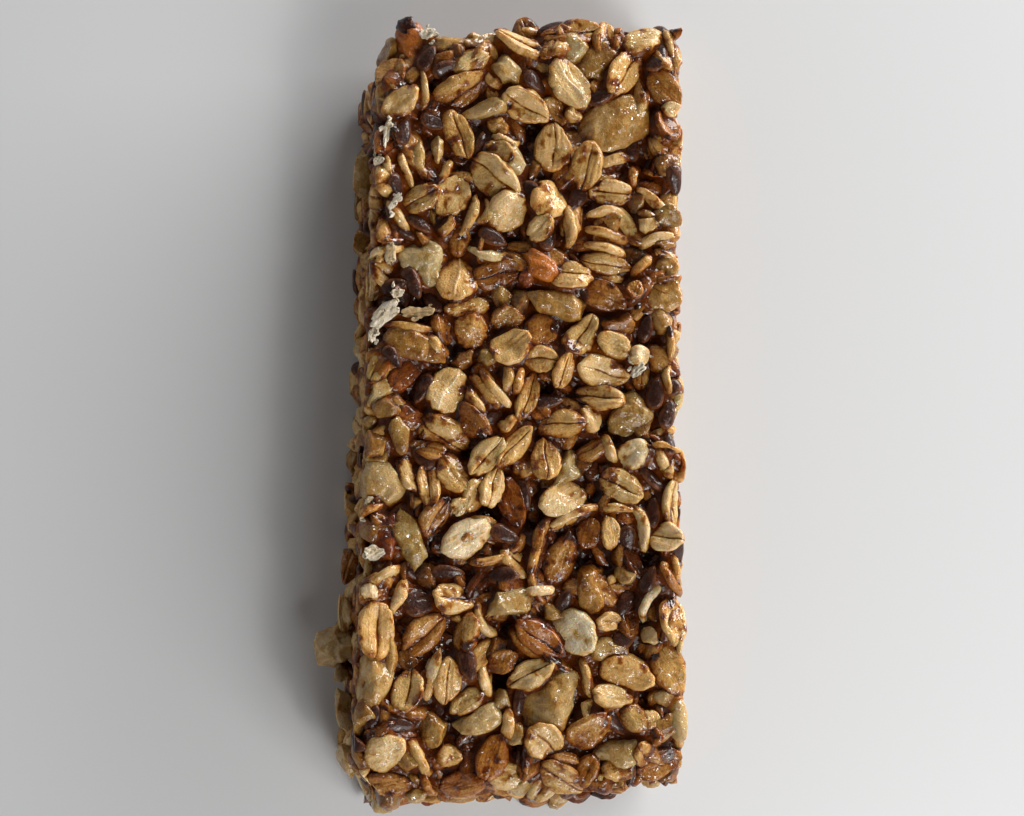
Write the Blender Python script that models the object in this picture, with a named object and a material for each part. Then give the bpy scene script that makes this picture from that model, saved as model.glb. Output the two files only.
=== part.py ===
"""A granola bar lying flat: rolled oats and seeds pressed into a slab with syrup, and chopped nuts set in it.

Metres, +Z up. The origin is the middle of the flat underside, +X runs across the bar and +Y along it.
The slab is one solid with the relief of its oats. Each large nut piece is a solid of its own in a pocket.
"""

import math
import random

import bmesh
import bpy
from mathutils import Matrix, Vector

MM = 0.001

# The slab, as it was cut from a pressed sheet.
WIDTH = 46.6 * MM
LENGTH = 111.6 * MM
HEIGHT = 17.2 * MM
EDGE_RADIUS = 1.8 * MM
MIDDLE_X = 0.4 * MM
MIDDLE_Y = 0.5 * MM
FAR_END_NARROWER = 0.07  # share of the width
SIDES_LEAN = 0.7 * MM  # each long side is further out at its foot
FAR_END_SLANT = 3.4 * MM  # the far end's left half is cut back
NEAR_END_STEP = 2.6 * MM  # the near end's right third is shorter
NEAR_END_SLOPE = 4.0 * MM  # the near end broke off, so it leans in towards the top
CHIPPED_CORNER_DEPTH = 5.0 * MM
CHIPPED_CORNER_REACH = 9.0 * MM
FLANK_BULGE = 1.4 * MM  # flakes stick out low on the left, towards the near end
FLANK_BULGE_REACH = 10.0 * MM

# The oats that show in its surface.
OAT_LENGTH = 7.2 * MM
OAT_WIDTH = 4.8 * MM
OAT_THICKNESS = 1.9 * MM
OAT_RELIEF = 1.9 * MM  # from the syrup between the oats to the crown of one
SYRUP_DEPTH = 0.9 * MM  # how far that syrup lies under the slab's nominal faces
OAT_PITCH = 5.0 * MM
SIDE_ROUGHNESS = 0.5  # shares of the top's relief: the sides were cut with a knife, the ends broke
END_ROUGHNESS = 1.25
WAVE_HEIGHT = 0.35 * MM
WAVE_LENGTH = 31.0 * MM
LATTICE = (2.15 * MM, 2.15 * MM, 2.8 * MM)  # spacing of the points that carry the relief

# The nut pieces.
POCKET_GAP = 0.8 * MM  # at a pocket's corners: it is coarser than its nut, so the gap narrows between them
POCKET_REACH = 6.0 * MM  # a pocket runs this much further out than its nut, so it is always open
NUT_RINGS, NUT_SEGMENTS = 8, 12
POCKET_RINGS, POCKET_SEGMENTS = 6, 9
NUT_FACETS = 5  # broken faces on each piece
NUT_ROUGHNESS = 0.05

SEED = 20

# Name, middle (x, y, z), length, width and thickness in mm, turn about Z and lean about its own length in
# degrees, then how much it narrows towards its end and how far it bends, both as shares of its size.
NUT_PIECES = [
    ("nut_far_right", (12.4, 42.2, 15.4), (13.0, 7.2, 5.0), 33, 0, -0.25, 0.12),
    ("nut_far_edge", (-10.5, 52.0, 14.8), (8.8, 4.2, 4.6), 8, 0, 0.15, 0.00),
    ("nut_far_middle", (-2.7, 49.1, 15.6), (6.4, 4.4, 4.2), -35, 0, 0.10, 0.10),
    ("nut_far_brown", (10.4, 51.4, 14.8), (8.2, 5.4, 4.6), 55, 0, 0.20, 0.00),
    ("nut_right_yellow", (20.4, 19.8, 14.8), (9.6, 5.6, 5.4), 84, 12, 0.30, 0.06),
    ("nut_left_round", (-14.9, 20.6, 15.7), (7.4, 6.2, 4.2), -40, 0, 0.05, 0.00),
    ("nut_left_oval", (-15.7, 8.9, 15.8), (8.4, 4.8, 4.0), -15, 0, 0.10, 0.00),
    ("nut_clear_middle", (5.0, 15.6, 15.4), (9.2, 4.2, 4.2), -8, 0, 0.10, 0.15),
    ("nut_right_wedge", (16.1, -0.2, 15.4), (7.4, 5.4, 4.6), 82, 0, 0.45, 0.00),
    ("nut_grey_middle", (5.4, -8.6, 15.0), (8.4, 4.0, 4.0), 42, 0, -0.25, 0.10),
    ("nut_left_cut", (-19.7, -10.8, 15.0), (6.4, 6.2, 4.8), 80, 0, 0.00, 0.00),
    ("nut_left_crescent", (-15.9, -18.7, 16.0), (9.4, 4.2, 4.0), -68, 0, 0.06, 0.18),
    ("nut_near_spear", (10.3, -25.4, 15.3), (9.8, 4.6, 4.4), -80, 8, 0.20, 0.06),
    ("nut_left_wedge", (-20.6, -38.4, 15.3), (9.4, 4.8, 4.6), -97, 0, 0.35, -0.08),
    ("nut_near_middle", (4.6, -40.6, 15.4), (10.8, 6.0, 4.6), 58, 0, 0.35, 0.00),
    ("nut_near_olive", (-6.2, -43.2, 15.4), (6.8, 4.2, 4.2), 25, 0, -0.15, 0.10),
    ("nut_near_brown", (-12.4, -45.3, 14.9), (5.2, 5.0, 4.4), -20, 0, 0.10, 0.00),
    ("nut_near_block", (14.8, -48.4, 14.8), (9.4, 4.8, 4.6), 22, -14, 0.10, 0.00),
    ("nut_near_amber", (21.4, -42.8, 14.2), (6.4, 4.2, 4.6), -80, 0, 0.00, 0.00),
    ("nut_flank", (-25.2, -33.6, 7.2), (7.4, 6.2, 5.6), 10, 0, -0.10, 0.00),
]


def clear_scene():
    for thing in list(bpy.data.objects):
        bpy.data.objects.remove(thing, do_unlink=True)


def material(name, colour, roughness):
    made = bpy.data.materials.new(name)
    made.use_nodes = True
    surface = made.node_tree.nodes["Principled BSDF"]
    surface.inputs["Base Color"].default_value = (*colour, 1.0)
    surface.inputs["Roughness"].default_value = roughness
    made.diffuse_color = (*colour, 1.0)
    return made


def smooth_step(t):
    t = min(1.0, max(0.0, t))
    return t * t * (3.0 - 2.0 * t)


def object_from(name, shape, finish):
    mesh = bpy.data.meshes.new(name)
    shape.to_mesh(mesh)
    shape.free()
    mesh.materials.append(finish)
    made = bpy.data.objects.new(name, mesh)
    bpy.context.scene.collection.objects.link(made)
    return made


# The slab -------------------------------------------------------------------------------------------------


def lattice_shell(size):
    """The surface of a box of this size that stands on z = 0, as a shape with points about LATTICE apart."""
    counts = [round(side / spacing) for side, spacing in zip(size, LATTICE)]
    shape = bmesh.new()
    points = {}

    def point(cell):
        if cell not in points:
            share = [c / n for c, n in zip(cell, counts)]
            x, y, z = (s * side for s, side in zip(share, size))
            points[cell] = shape.verts.new((x - size[0] / 2, y - size[1] / 2, z))
        return points[cell]

    for axis in range(3):
        first, second = (axis + 1) % 3, (axis + 2) % 3
        for level in (0, counts[axis]):
            for a in range(counts[first]):
                for b in range(counts[second]):
                    corners = []
                    for da, db in ((0, 0), (1, 0), (1, 1), (0, 1)):
                        cell = [0, 0, 0]
                        cell[axis], cell[first], cell[second] = level, a + da, b + db
                        corners.append(point(tuple(cell)))
                    shape.faces.new(corners if level else corners[::-1])
    return shape


def rounded(place, size, radius):
    """(point, outward normal) of a box with round edges, for a point on the plain box that stands on z = 0."""
    low = Vector((-size[0] / 2 + radius, -size[1] / 2 + radius, radius))
    high = Vector((size[0] / 2 - radius, size[1] / 2 - radius, size[2] - radius))
    inner = Vector(min(max(p, a), b) for p, a, b in zip(place, low, high))
    normal = (place - inner).normalized()
    return inner + normal * radius, normal


def scatter_oats(size, chance):
    """The oats in the slab's faces: (middle, normal, length direction, half length, half width, height)."""
    oats = []
    x, y, z = Vector((1, 0, 0)), Vector((0, 1, 0)), Vector((0, 0, 1))
    faces = [(z * size[2], size[0], size[1], z, x, y, OAT_WIDTH)]
    for side in (-1, 1):
        half_up = z * size[2] / 2
        faces.append((x * side * size[0] / 2 + half_up, size[1], size[2], x * side, y, z, OAT_THICKNESS))
        faces.append((y * side * size[1] / 2 + half_up, size[0], size[2], y * side, x, z, OAT_THICKNESS))
    for middle, reach_a, reach_b, normal, direction_a, direction_b, breadth in faces:
        lying_flat = breadth == OAT_WIDTH
        pitch_b = OAT_PITCH if lying_flat else OAT_PITCH * 0.62
        for row in range(math.ceil(reach_b / pitch_b)):
            for column in range(math.ceil(reach_a / OAT_PITCH)):
                a = (column + 0.5 * (row % 2) + chance.uniform(0.1, 0.9)) * OAT_PITCH - reach_a / 2
                b = (row + chance.uniform(0.1, 0.9)) * pitch_b - reach_b / 2
                turn = chance.uniform(0, math.pi) if lying_flat else chance.gauss(0, 0.35)
                along = direction_a * math.cos(turn) + direction_b * math.sin(turn)
                scale = chance.uniform(0.85, 1.12) / 2
                height = OAT_RELIEF * chance.uniform(0.55, 1.0)
                centre = middle + direction_a * a + direction_b * b
                width = breadth * (1.0 if lying_flat else chance.uniform(1.1, 2.0))
                oats.append((centre, normal, along, OAT_LENGTH * scale, width * scale, height))
    return oats


def relief(place, normal, oats):
    """How far the surface stands out here: the highest oat that covers the point, less the syrup's depth."""
    highest = 0.0
    for centre, facing, along, half_length, half_width, height in oats:
        if facing.dot(normal) < 0.3:
            continue
        offset = place - centre
        a = offset.dot(along) / half_length
        b = offset.dot(facing.cross(along)) / half_width
        dome = 1.0 - a * a - b * b
        if dome > 0.0:
            highest = max(highest, height * math.sqrt(dome))
    wave = math.sin(math.tau * place.x / WAVE_LENGTH + 1.0) * math.cos(math.tau * place.y / WAVE_LENGTH)
    roughness = SIDE_ROUGHNESS * normal.x**2 + END_ROUGHNESS * normal.y**2 + normal.z**2
    return (highest - SYRUP_DEPTH) * roughness + WAVE_HEIGHT * wave


def hand_cut(place):
    """Moves a point of the straight slab to where the uneven cuts and breaks put it."""
    across = place.x / (WIDTH / 2)
    along = place.y / (LENGTH / 2)
    up = place.z / HEIGHT
    x = place.x * (1.0 - FAR_END_NARROWER * (along + 1.0) / 2)
    x += math.copysign(SIDES_LEAN * (1.0 - up), across) * min(1.0, 2.0 * abs(across))
    y = place.y
    if along > 0.0:
        y -= FAR_END_SLANT * along**4 * smooth_step(0.5 - 1.6 * across)
    else:
        y += NEAR_END_STEP * along**4 * smooth_step(4.0 * (across - 0.55))
        y += NEAR_END_SLOPE * along**8 * (up - 0.5)
    corner = math.hypot(across * WIDTH / 2 + WIDTH / 2, place.y - LENGTH / 2)
    z = place.z - CHIPPED_CORNER_DEPTH * up * smooth_step(1.0 - corner / CHIPPED_CORNER_REACH)
    bulge = 1.0 - math.hypot(place.y + 0.76 * LENGTH / 2, 2.0 * (place.z - HEIGHT * 0.3)) / FLANK_BULGE_REACH
    if across < 0.0:
        x -= FLANK_BULGE * smooth_step(bulge) * smooth_step(2.0 * -across - 1.0)
    return Vector((x + MIDDLE_X, y + MIDDLE_Y, z))


def make_slab(finish):
    size = (WIDTH, LENGTH, HEIGHT)
    shape = lattice_shell(size)
    oats = scatter_oats(size, random.Random(SEED))
    flat_below = EDGE_RADIUS * 0.5
    for point in shape.verts:
        place, normal = rounded(point.co.copy(), size, EDGE_RADIUS)
        if place.z > flat_below:
            place += normal * relief(place, normal, oats)
        point.co = hand_cut(place)
        if point.co.z < flat_below and normal.z < -0.9:
            point.co.z = 0.0
    shape.normal_update()
    underside = [face for face in shape.faces if all(corner.co.z == 0.0 for corner in face.verts)]
    bmesh.ops.dissolve_faces(shape, faces=underside)
    bmesh.ops.triangulate(shape, faces=shape.faces[:])
    bmesh.ops.recalc_face_normals(shape, faces=shape.faces[:])
    return object_from("oat_slab", shape, finish)


# The nut pieces -------------------------------------------------------------------------------------------


def nut_shape(size, narrowing, bend, chance, segments=NUT_SEGMENTS, rings=NUT_RINGS, grown=0.0):
    """A chopped piece of nut about the origin, with its length along X: squared, tapered, bent and broken."""
    shape = bmesh.new()
    bmesh.ops.create_uvsphere(shape, u_segments=segments, v_segments=rings, radius=1.0)
    facets = []
    for _ in range(NUT_FACETS):
        facing = Vector(chance.gauss(0, 1) for _ in range(3)).normalized()
        facets.append((facing, chance.uniform(0.72, 0.9)))
    phases = [chance.uniform(0, math.tau) for _ in range(3)]
    for point in shape.verts:
        p = Vector(math.copysign(abs(c) ** 0.8, c) for c in point.co)
        p *= 1.0 + NUT_ROUGHNESS * sum(math.sin(4.0 * c + f) for c, f in zip(p, phases))
        for facing, distance in facets:
            p -= facing * max(0.0, p.dot(facing) - distance)
        p.y = p.y * (1.0 - narrowing * p.x) + bend * (2.0 * p.x * p.x - 1.0)
        p.z *= 1.0 - 0.5 * abs(narrowing) * p.x
        point.co = Vector(c * (side * MM / 2 + grown) for c, side in zip(p, size))
    return shape


def outward(middle):
    """The way out of the slab for a piece here: up, or straight out of the side that it sticks out of."""
    if abs(middle[0] * MM) > WIDTH / 2:
        return Vector((math.copysign(1.0, middle[0]), 0.0, 0.0))
    return Vector((0.0, 0.0, 1.0))


def swept_out(shape, move):
    """Turns the shape into the hull of itself and of its copy at the end of this move."""
    for point in list(shape.verts):
        shape.verts.new(point.co + move)
    bmesh.ops.delete(shape, geom=shape.edges[:] + shape.faces[:], context="EDGES_FACES")
    hull = bmesh.ops.convex_hull(shape, input=shape.verts[:])
    inside = {thing for thing in hull["geom_interior"] + hull["geom_unused"] if isinstance(thing, bmesh.types.BMVert)}
    bmesh.ops.delete(shape, geom=list(inside), context="VERTS")
    bmesh.ops.recalc_face_normals(shape, faces=shape.faces[:])


def make_nut(name, middle, size, turn, lean, narrowing, bend, finish, slab):
    """One piece of nut, and its pocket, which is cut from the slab."""
    place = Matrix.Translation(Vector(middle) * MM)
    place @= Matrix.Rotation(math.radians(turn), 4, "Z") @ Matrix.Rotation(math.radians(lean), 4, "X")
    nut = object_from(name, nut_shape(size, narrowing, bend, random.Random(name)), finish)
    nut.matrix_world = place
    nut.data.shade_smooth()
    cutter_shape = nut_shape(
        size, narrowing, bend, random.Random(name), POCKET_SEGMENTS, POCKET_RINGS, grown=POCKET_GAP
    )
    way_out = place.to_3x3().inverted() @ outward(middle)
    swept_out(cutter_shape, way_out * POCKET_REACH)
    cutter = object_from(name + "_pocket", cutter_shape, finish)
    cutter.matrix_world = place
    cutter.hide_render = True
    cutter.display_type = "WIRE"
    pocket = slab.modifiers.new(name + "_pocket", "BOOLEAN")
    pocket.operation = "DIFFERENCE"
    pocket.object = cutter
    return nut


def main():
    clear_scene()
    oat = material("oats_in_syrup", (0.24, 0.12, 0.04), 0.45)
    nut = material("nut", (0.42, 0.27, 0.11), 0.35)
    slab = make_slab(oat)
    for piece in NUT_PIECES:
        make_nut(*piece, finish=nut, slab=slab)


main()
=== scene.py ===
"""Looks for the granola bar: rolled oats, flax seeds and chopped nuts in dark syrup, round its CAD frame.

All pieces are meshes at true size. The top layer is listed piece by piece, as the eye reads it. What lies
under it, and in the sides, the ends and the underside, is strewn at random. Lengths are in millimetres until
a mesh is made.
"""

import math
from collections import namedtuple

import bmesh
import bpy
import numpy as np
from mathutils import Matrix, Vector

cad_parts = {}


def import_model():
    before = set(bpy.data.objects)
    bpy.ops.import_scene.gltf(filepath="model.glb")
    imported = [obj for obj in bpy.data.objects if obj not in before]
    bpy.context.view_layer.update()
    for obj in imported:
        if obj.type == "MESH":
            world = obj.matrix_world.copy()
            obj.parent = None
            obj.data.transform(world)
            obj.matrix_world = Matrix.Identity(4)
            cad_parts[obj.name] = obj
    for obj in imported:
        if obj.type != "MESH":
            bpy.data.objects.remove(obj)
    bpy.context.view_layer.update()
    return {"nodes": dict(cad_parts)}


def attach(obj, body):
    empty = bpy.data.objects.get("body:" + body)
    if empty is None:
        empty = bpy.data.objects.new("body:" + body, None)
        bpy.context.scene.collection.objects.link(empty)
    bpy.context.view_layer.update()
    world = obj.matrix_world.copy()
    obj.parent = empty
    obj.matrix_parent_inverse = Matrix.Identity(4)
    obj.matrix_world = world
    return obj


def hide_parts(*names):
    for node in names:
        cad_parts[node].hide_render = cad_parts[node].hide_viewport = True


MM = 0.001
SEED = 7

# The block, in the CAD model's frame: +X across the bar, +Y along it, +Z up, z = 0 its flat underside.
TOP = 18.0  # the level of the highest oats
LEFT_CUT = (-21.4, -23.3)  # the cut face's x at the top, at the far end and at the near end
RIGHT_CUT = (22.6, 23.9)
SIDE_LEAN = 0.8  # how much further out the cut faces are at their foot
FAR_END, FAR_SLANT = 55.9, 3.2  # the far end's y, and how much of its left half is missing
NEAR_END = -54.6  # the near end's y at half height
END_LEAN = 4.0  # the near end is this much further out at its foot than at its top
CHIP_DEPTH, CHIP_REACH = 5.5, 10.0  # the far left corner is broken off at the top
# What the ends and the left face have lost, as (how much, from where on, over what length it grows).
NEAR_RIGHT_LOSS = (2.6, 12.5, 7.0)
FAR_LEFT_LOSS = (7.0, 14.0, 8.0)
LEFT_NEAR_LOSS = (4.2, 48.5, 6.0)
# How the top falls off along the ends, as (how steeply, from how far in).
NEAR_FALL = (0.9, 2.4)
FAR_FALL = (0.6, 1.8)
PRESSED, PRESSING = 0.34, 6.0  # what is lower than this was pressed flat on the tray, this many times flatter
LOWEST = 0.02  # nothing is lower than this

FINE = (28, 22)  # columns along and rows across a flake that is seen close
MEDIUM = (20, 14)  # of a flake on edge, and of a nut bit
COARSE = (9, 8)  # of a strewn flake
SEED_GRID = (10, 8)
OAT_THICKNESS = 1.45
NUT_FACETS, FRUIT_FACETS = 12, 2
TOAST_MIDDLE = (0.9, 0.68)  # the middle toast of the lists below, and what it becomes
TOAST_CONTRAST = 1.08  # how much further apart the toasts are than the lists say

# The top layer, as (x, y, length, width, turn in degrees, toast), from the lowest to the highest in each
# list. Toast is 0 for a pale flake, 1 for a golden one and 2 for a brown one.
CREASED_OATS = [
    (6.7, 55.2, 8.5, 3.8, 8, 1.4),
    (-1.2, 53.0, 7.4, 3.2, -25, 0.7),
    (14.1, 49.6, 7.6, 4.3, 55, 1.0),
    (-0.2, 44.0, 7.0, 4.3, -28, 0.6),
    (-9.8, 45.4, 8.8, 5.0, 32, 1.4),
    (-9.9, 39.2, 7.2, 3.9, -68, 1.2),
    (3.9, 38.2, 6.9, 4.8, 88, 0.5),
    (8.7, 35.6, 7.0, 4.4, 78, 1.2),
    (-4.8, 33.4, 7.9, 5.2, -35, 0.7),
    (-15.2, 29.7, 5.8, 3.4, 28, 1.2),
    (12.5, 32.0, 6.2, 3.7, -1, 0.6),
    (12.0, 21.5, 7.4, 3.0, -8, 1.0),
    (-4.1, 19.5, 7.2, 4.3, 14, 2.0),
    (6.6, 19.5, 6.2, 4.0, 2, 0.8),
    (2.5, 7.4, 4.8, 3.6, -5, 0.9),
    (8.3, 11.0, 6.8, 4.0, 58, 0.9),
    (11.0, 2.2, 7.6, 3.6, -6, 0.8),
    (11.4, 5.9, 8.0, 4.4, -10, 0.7),
    (5.6, 5.9, 5.2, 2.9, 75, 0.9),
    (0.4, 2.0, 6.8, 3.0, 72, 1.1),
    (5.5, -1.8, 6.6, 3.9, 5, 1.2),
    (-11.3, -4.0, 8.0, 4.9, -32, 0.8),
    (-13.5, -11.0, 6.4, 3.0, -85, 1.0),
    (-1.4, -5.2, 7.2, 3.2, 48, 1.1),
    (-5.4, -6.6, 6.8, 3.5, 50, 0.8),
    (3.1, -7.0, 6.2, 4.0, 88, 1.4),
    (-4.6, -11.0, 5.8, 3.6, 75, 0.6),
    (14.3, -10.5, 6.6, 4.1, -22, 0.9),
    (20.9, -17.8, 4.8, 4.0, -10, 0.4),
    (-12.5, -15.2, 6.2, 3.9, 60, 1.7),
    (-9.5, -26.6, 6.4, 4.2, -3, 0.5),
    (-20.7, -31.0, 7.8, 5.2, 88, 0.7),
    (-13.9, -31.6, 7.8, 4.4, 42, 1.6),
    (2.4, -32.1, 7.6, 4.2, -35, 2.0),
    (1.4, -37.1, 7.0, 3.6, 28, 0.6),
    (-10.5, -38.0, 6.2, 3.8, 85, 0.5),
    (-16.0, -39.4, 5.9, 4.0, 75, 0.8),
    (6.1, -51.6, 7.6, 4.3, -30, 1.4),
    (3.2, -46.3, 5.8, 4.7, -40, 0.9),
]
WHITE_CREASED_OATS = [
    (6.1, 47.6, 8.0, 5.0, -52, 0.7),
    (-9.9, 18.6, 6.8, 5.4, 80, 1.0),
    (-11.0, 2.6, 6.6, 5.2, 62, 0.4),
]
SMOOTH_OATS = [
    (-19.7, 47.6, 5.2, 4.4, 60, 1.5),
    (20.6, 42.0, 5.0, 4.2, -70, 1.9),
    (20.3, 47.6, 6.2, 4.2, -50, 1.9),
    (21.4, 44.8, 2.8, 2.2, 0, 0.3),
    (17.2, 54.8, 6.8, 3.5, 22, 0.8),
    (2.8, 51.8, 2.6, 1.9, 0, 1.3),
    (-8.3, 49.6, 5.8, 3.4, 27, 0.8),
    (4.1, 43.5, 4.6, 3.1, -50, 1.2),
    (6.9, 43.1, 2.6, 2.2, 0, 1.0),
    (-18.3, 43.4, 5.8, 3.6, 45, 0.7),
    (-4.0, 40.9, 3.4, 2.5, -30, 1.2),
    (-4.2, 36.8, 4.6, 3.4, -15, 1.3),
    (3.6, 30.7, 6.4, 4.9, 45, 0.6),
    (-10.8, 30.4, 6.4, 4.6, 60, 0.7),
    (2.1, 26.3, 4.6, 3.1, 50, 0.8),
    (-2.6, 28.6, 6.6, 5.3, 48, 0.5),
    (16.0, 17.8, 2.8, 2.3, 60, 1.5),
    (11.7, 17.0, 7.4, 4.0, -22, 1.7),
    (-8.0, 14.6, 6.8, 3.1, 10, 1.0),
    (-7.7, 11.0, 5.6, 4.5, -75, 1.3),
    (2.4, 11.6, 5.2, 4.6, 30, 1.7),
    (-2.4, 13.2, 4.6, 3.6, 0, 1.3),
    (-2.0, 9.0, 5.8, 4.5, 35, 1.0),
    (13.2, 9.7, 5.8, 3.4, -25, 1.1),
    (16.7, 8.3, 3.2, 2.8, 30, 0.1),
    (9.8, -0.9, 4.0, 3.2, -60, 0.7),
    (-7.2, -2.0, 6.4, 4.0, -45, 2.1),
    (-16.3, -9.4, 5.6, 3.0, -68, 0.7),
    (-10.1, -9.1, 6.2, 4.4, -55, 1.1),
    (15.8, -5.9, 5.2, 3.8, 42, 0.2),
    (-6.8, -11.8, 5.6, 4.2, 60, 0.9),
    (0.2, -7.4, 4.6, 3.6, 75, 1.5),
    (5.8, -12.4, 7.4, 4.8, 18, 0.4),
    (-1.7, -13.0, 7.4, 3.7, -70, 2.2),
    (-9.3, -13.6, 3.0, 2.3, 40, 0.5),
    (-7.9, -18.1, 7.6, 4.7, 28, -0.3),
    (9.8, -17.2, 4.4, 3.5, 80, 1.8),
    (12.6, -17.2, 4.8, 2.8, -80, 0.9),
    (5.7, -20.9, 7.8, 4.9, 72, 1.5),
    (12.6, -29.6, 4.0, 2.6, 0, 1.0),
    (-21.6, -26.2, 3.4, 2.8, 90, 0.0),
    (-8.1, -31.3, 5.2, 4.2, 80, 1.4),
    (-2.5, -35.2, 4.8, 3.0, 10, 2.0),
    (21.7, -29.6, 6.8, 4.4, -85, 1.0),
    (21.6, -36.7, 7.6, 4.8, -62, 1.4),
    (7.6, -31.2, 7.0, 5.4, -50, -0.1),
    (15.3, -37.0, 7.6, 4.6, -18, 1.0),
    (-7.6, -40.8, 5.4, 3.0, 35, 1.0),
    (18.4, -43.6, 3.4, 2.7, 20, 0.9),
    (13.0, -40.2, 6.0, 3.0, -8, 0.7),
    (16.0, -43.3, 4.8, 3.6, -40, 1.5),
    (9.8, -45.0, 7.0, 4.9, 38, 1.6),
    (-4.0, -48.6, 6.6, 4.0, 70, 1.9),
    (-10.0, -48.5, 3.4, 3.0, 0, 0.8),
    (20.2, -49.6, 7.4, 3.8, 15, 1.9),
    (-19.2, -47.9, 6.2, 4.8, 35, 0.4),
    (-18.2, -52.2, 6.6, 3.6, -5, 1.6),
    (-7.9, -52.4, 7.0, 4.0, 10, 1.9),
]
# Flakes that stand on edge; the width is what shows from above.
OATS_ON_EDGE = [
    (21.9, 53.0, 7.8, 2.0, 101, 1.2),
    (-15.3, 45.6, 6.2, 2.5, 94, 1.1),
    (-4.6, 47.7, 3.6, 1.5, -45, 1.3),
    (-2.9, 39.0, 4.2, 1.3, -8, 0.4),
    (19.7, 37.6, 6.8, 2.4, -55, 1.1),
    (12.9, 36.5, 5.0, 1.5, 22, 0.7),
    (-19.5, 34.0, 5.8, 2.3, -65, 1.0),
    (-17.0, 34.3, 6.8, 2.6, -73, 0.8),
    (-14.9, 35.0, 6.8, 2.5, -75, 1.0),
    (-12.3, 33.6, 5.2, 1.7, 54, 0.9),
    (16.0, 34.5, 3.4, 1.6, 80, 1.6),
    (18.7, 30.4, 6.8, 1.6, -46, 0.8),
    (18.4, 28.0, 5.0, 1.4, -42, 1.2),
    (12.3, 28.6, 6.4, 2.1, -3, 0.9),
    (12.0, 25.4, 6.6, 2.2, -10, 1.2),
    (11.6, 23.5, 6.2, 1.9, -14, 0.6),
    (-18.0, 26.8, 6.3, 1.4, -52, 0.7),
    (-8.5, 27.6, 6.4, 1.8, 66, 0.9),
    (-6.1, 28.3, 3.8, 1.6, 70, 0.8),
    (-11.7, 26.0, 4.2, 1.4, 50, 1.5),
    (6.1, 26.8, 6.2, 2.2, -78, 0.9),
    (19.7, 25.2, 5.8, 2.4, 20, 0.4),
    (-5.4, 22.4, 5.6, 2.4, -8, 0.7),
    (-19.8, 22.4, 5.6, 1.0, 18, 0.1),
    (17.7, 21.4, 4.6, 1.9, 55, 1.6),
    (-16.5, 11.7, 7.4, 1.3, -6, 1.1),
    (-12.5, 9.4, 4.8, 1.5, -48, 0.9),
    (21.3, 10.6, 6.0, 1.8, -83, 1.3),
    (21.2, 5.0, 5.0, 1.7, 88, 1.2),
    (-2.6, 4.4, 4.2, 1.4, 85, 1.4),
    (-1.0, 4.3, 4.2, 1.4, 80, 1.5),
    (-6.7, 1.2, 4.8, 2.1, -65, 1.0),
    (-5.5, 2.9, 6.4, 2.0, -58, 1.4),
    (-4.1, 3.3, 6.8, 1.9, -56, 0.6),
    (-2.4, -1.7, 3.4, 1.4, 40, 0.8),
    (12.0, -5.6, 4.8, 1.9, -65, 0.7),
    (19.9, -6.7, 6.0, 1.9, -58, 0.5),
    (21.9, -7.8, 3.2, 2.0, 85, 1.0),
    (14.0, -13.9, 5.6, 1.7, 5, 0.8),
    (21.5, -12.7, 6.6, 2.7, 88, 0.8),
    (7.5, -14.7, 8.0, 1.5, 22, 0.6),
    (17.1, -16.4, 6.8, 1.9, -75, 0.4),
    (2.9, -17.7, 6.5, 2.0, 68, 1.5),
    (2.2, -20.4, 6.4, 1.9, 70, 1.4),
    (-4.2, -20.6, 7.0, 2.2, 20, 1.5),
    (22.0, -22.3, 4.8, 2.2, -80, 1.1),
    (18.6, -26.8, 6.0, 1.9, 62, 0.1),
    (2.3, -25.6, 4.8, 1.3, 12, 0.1),
    (-18.0, -26.5, 5.6, 1.8, 60, 0.3),
    (-5.4, -29.7, 5.6, 1.8, -58, 0.6),
    (-13.2, -37.2, 7.6, 2.6, 72, -0.5),
    (-4.9, -38.0, 4.8, 1.6, -80, 0.5),
    (8.9, -37.7, 6.4, 1.6, -75, 1.0),
    (-2.2, -44.0, 5.0, 1.4, 88, 0.8),
    (-14.0, -48.3, 6.2, 1.5, -62, 1.0),
    (-13.0, -51.6, 5.2, 1.6, -60, 2.0),
    (12.0, -51.6, 4.4, 2.0, 88, 0.4),
]
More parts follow.
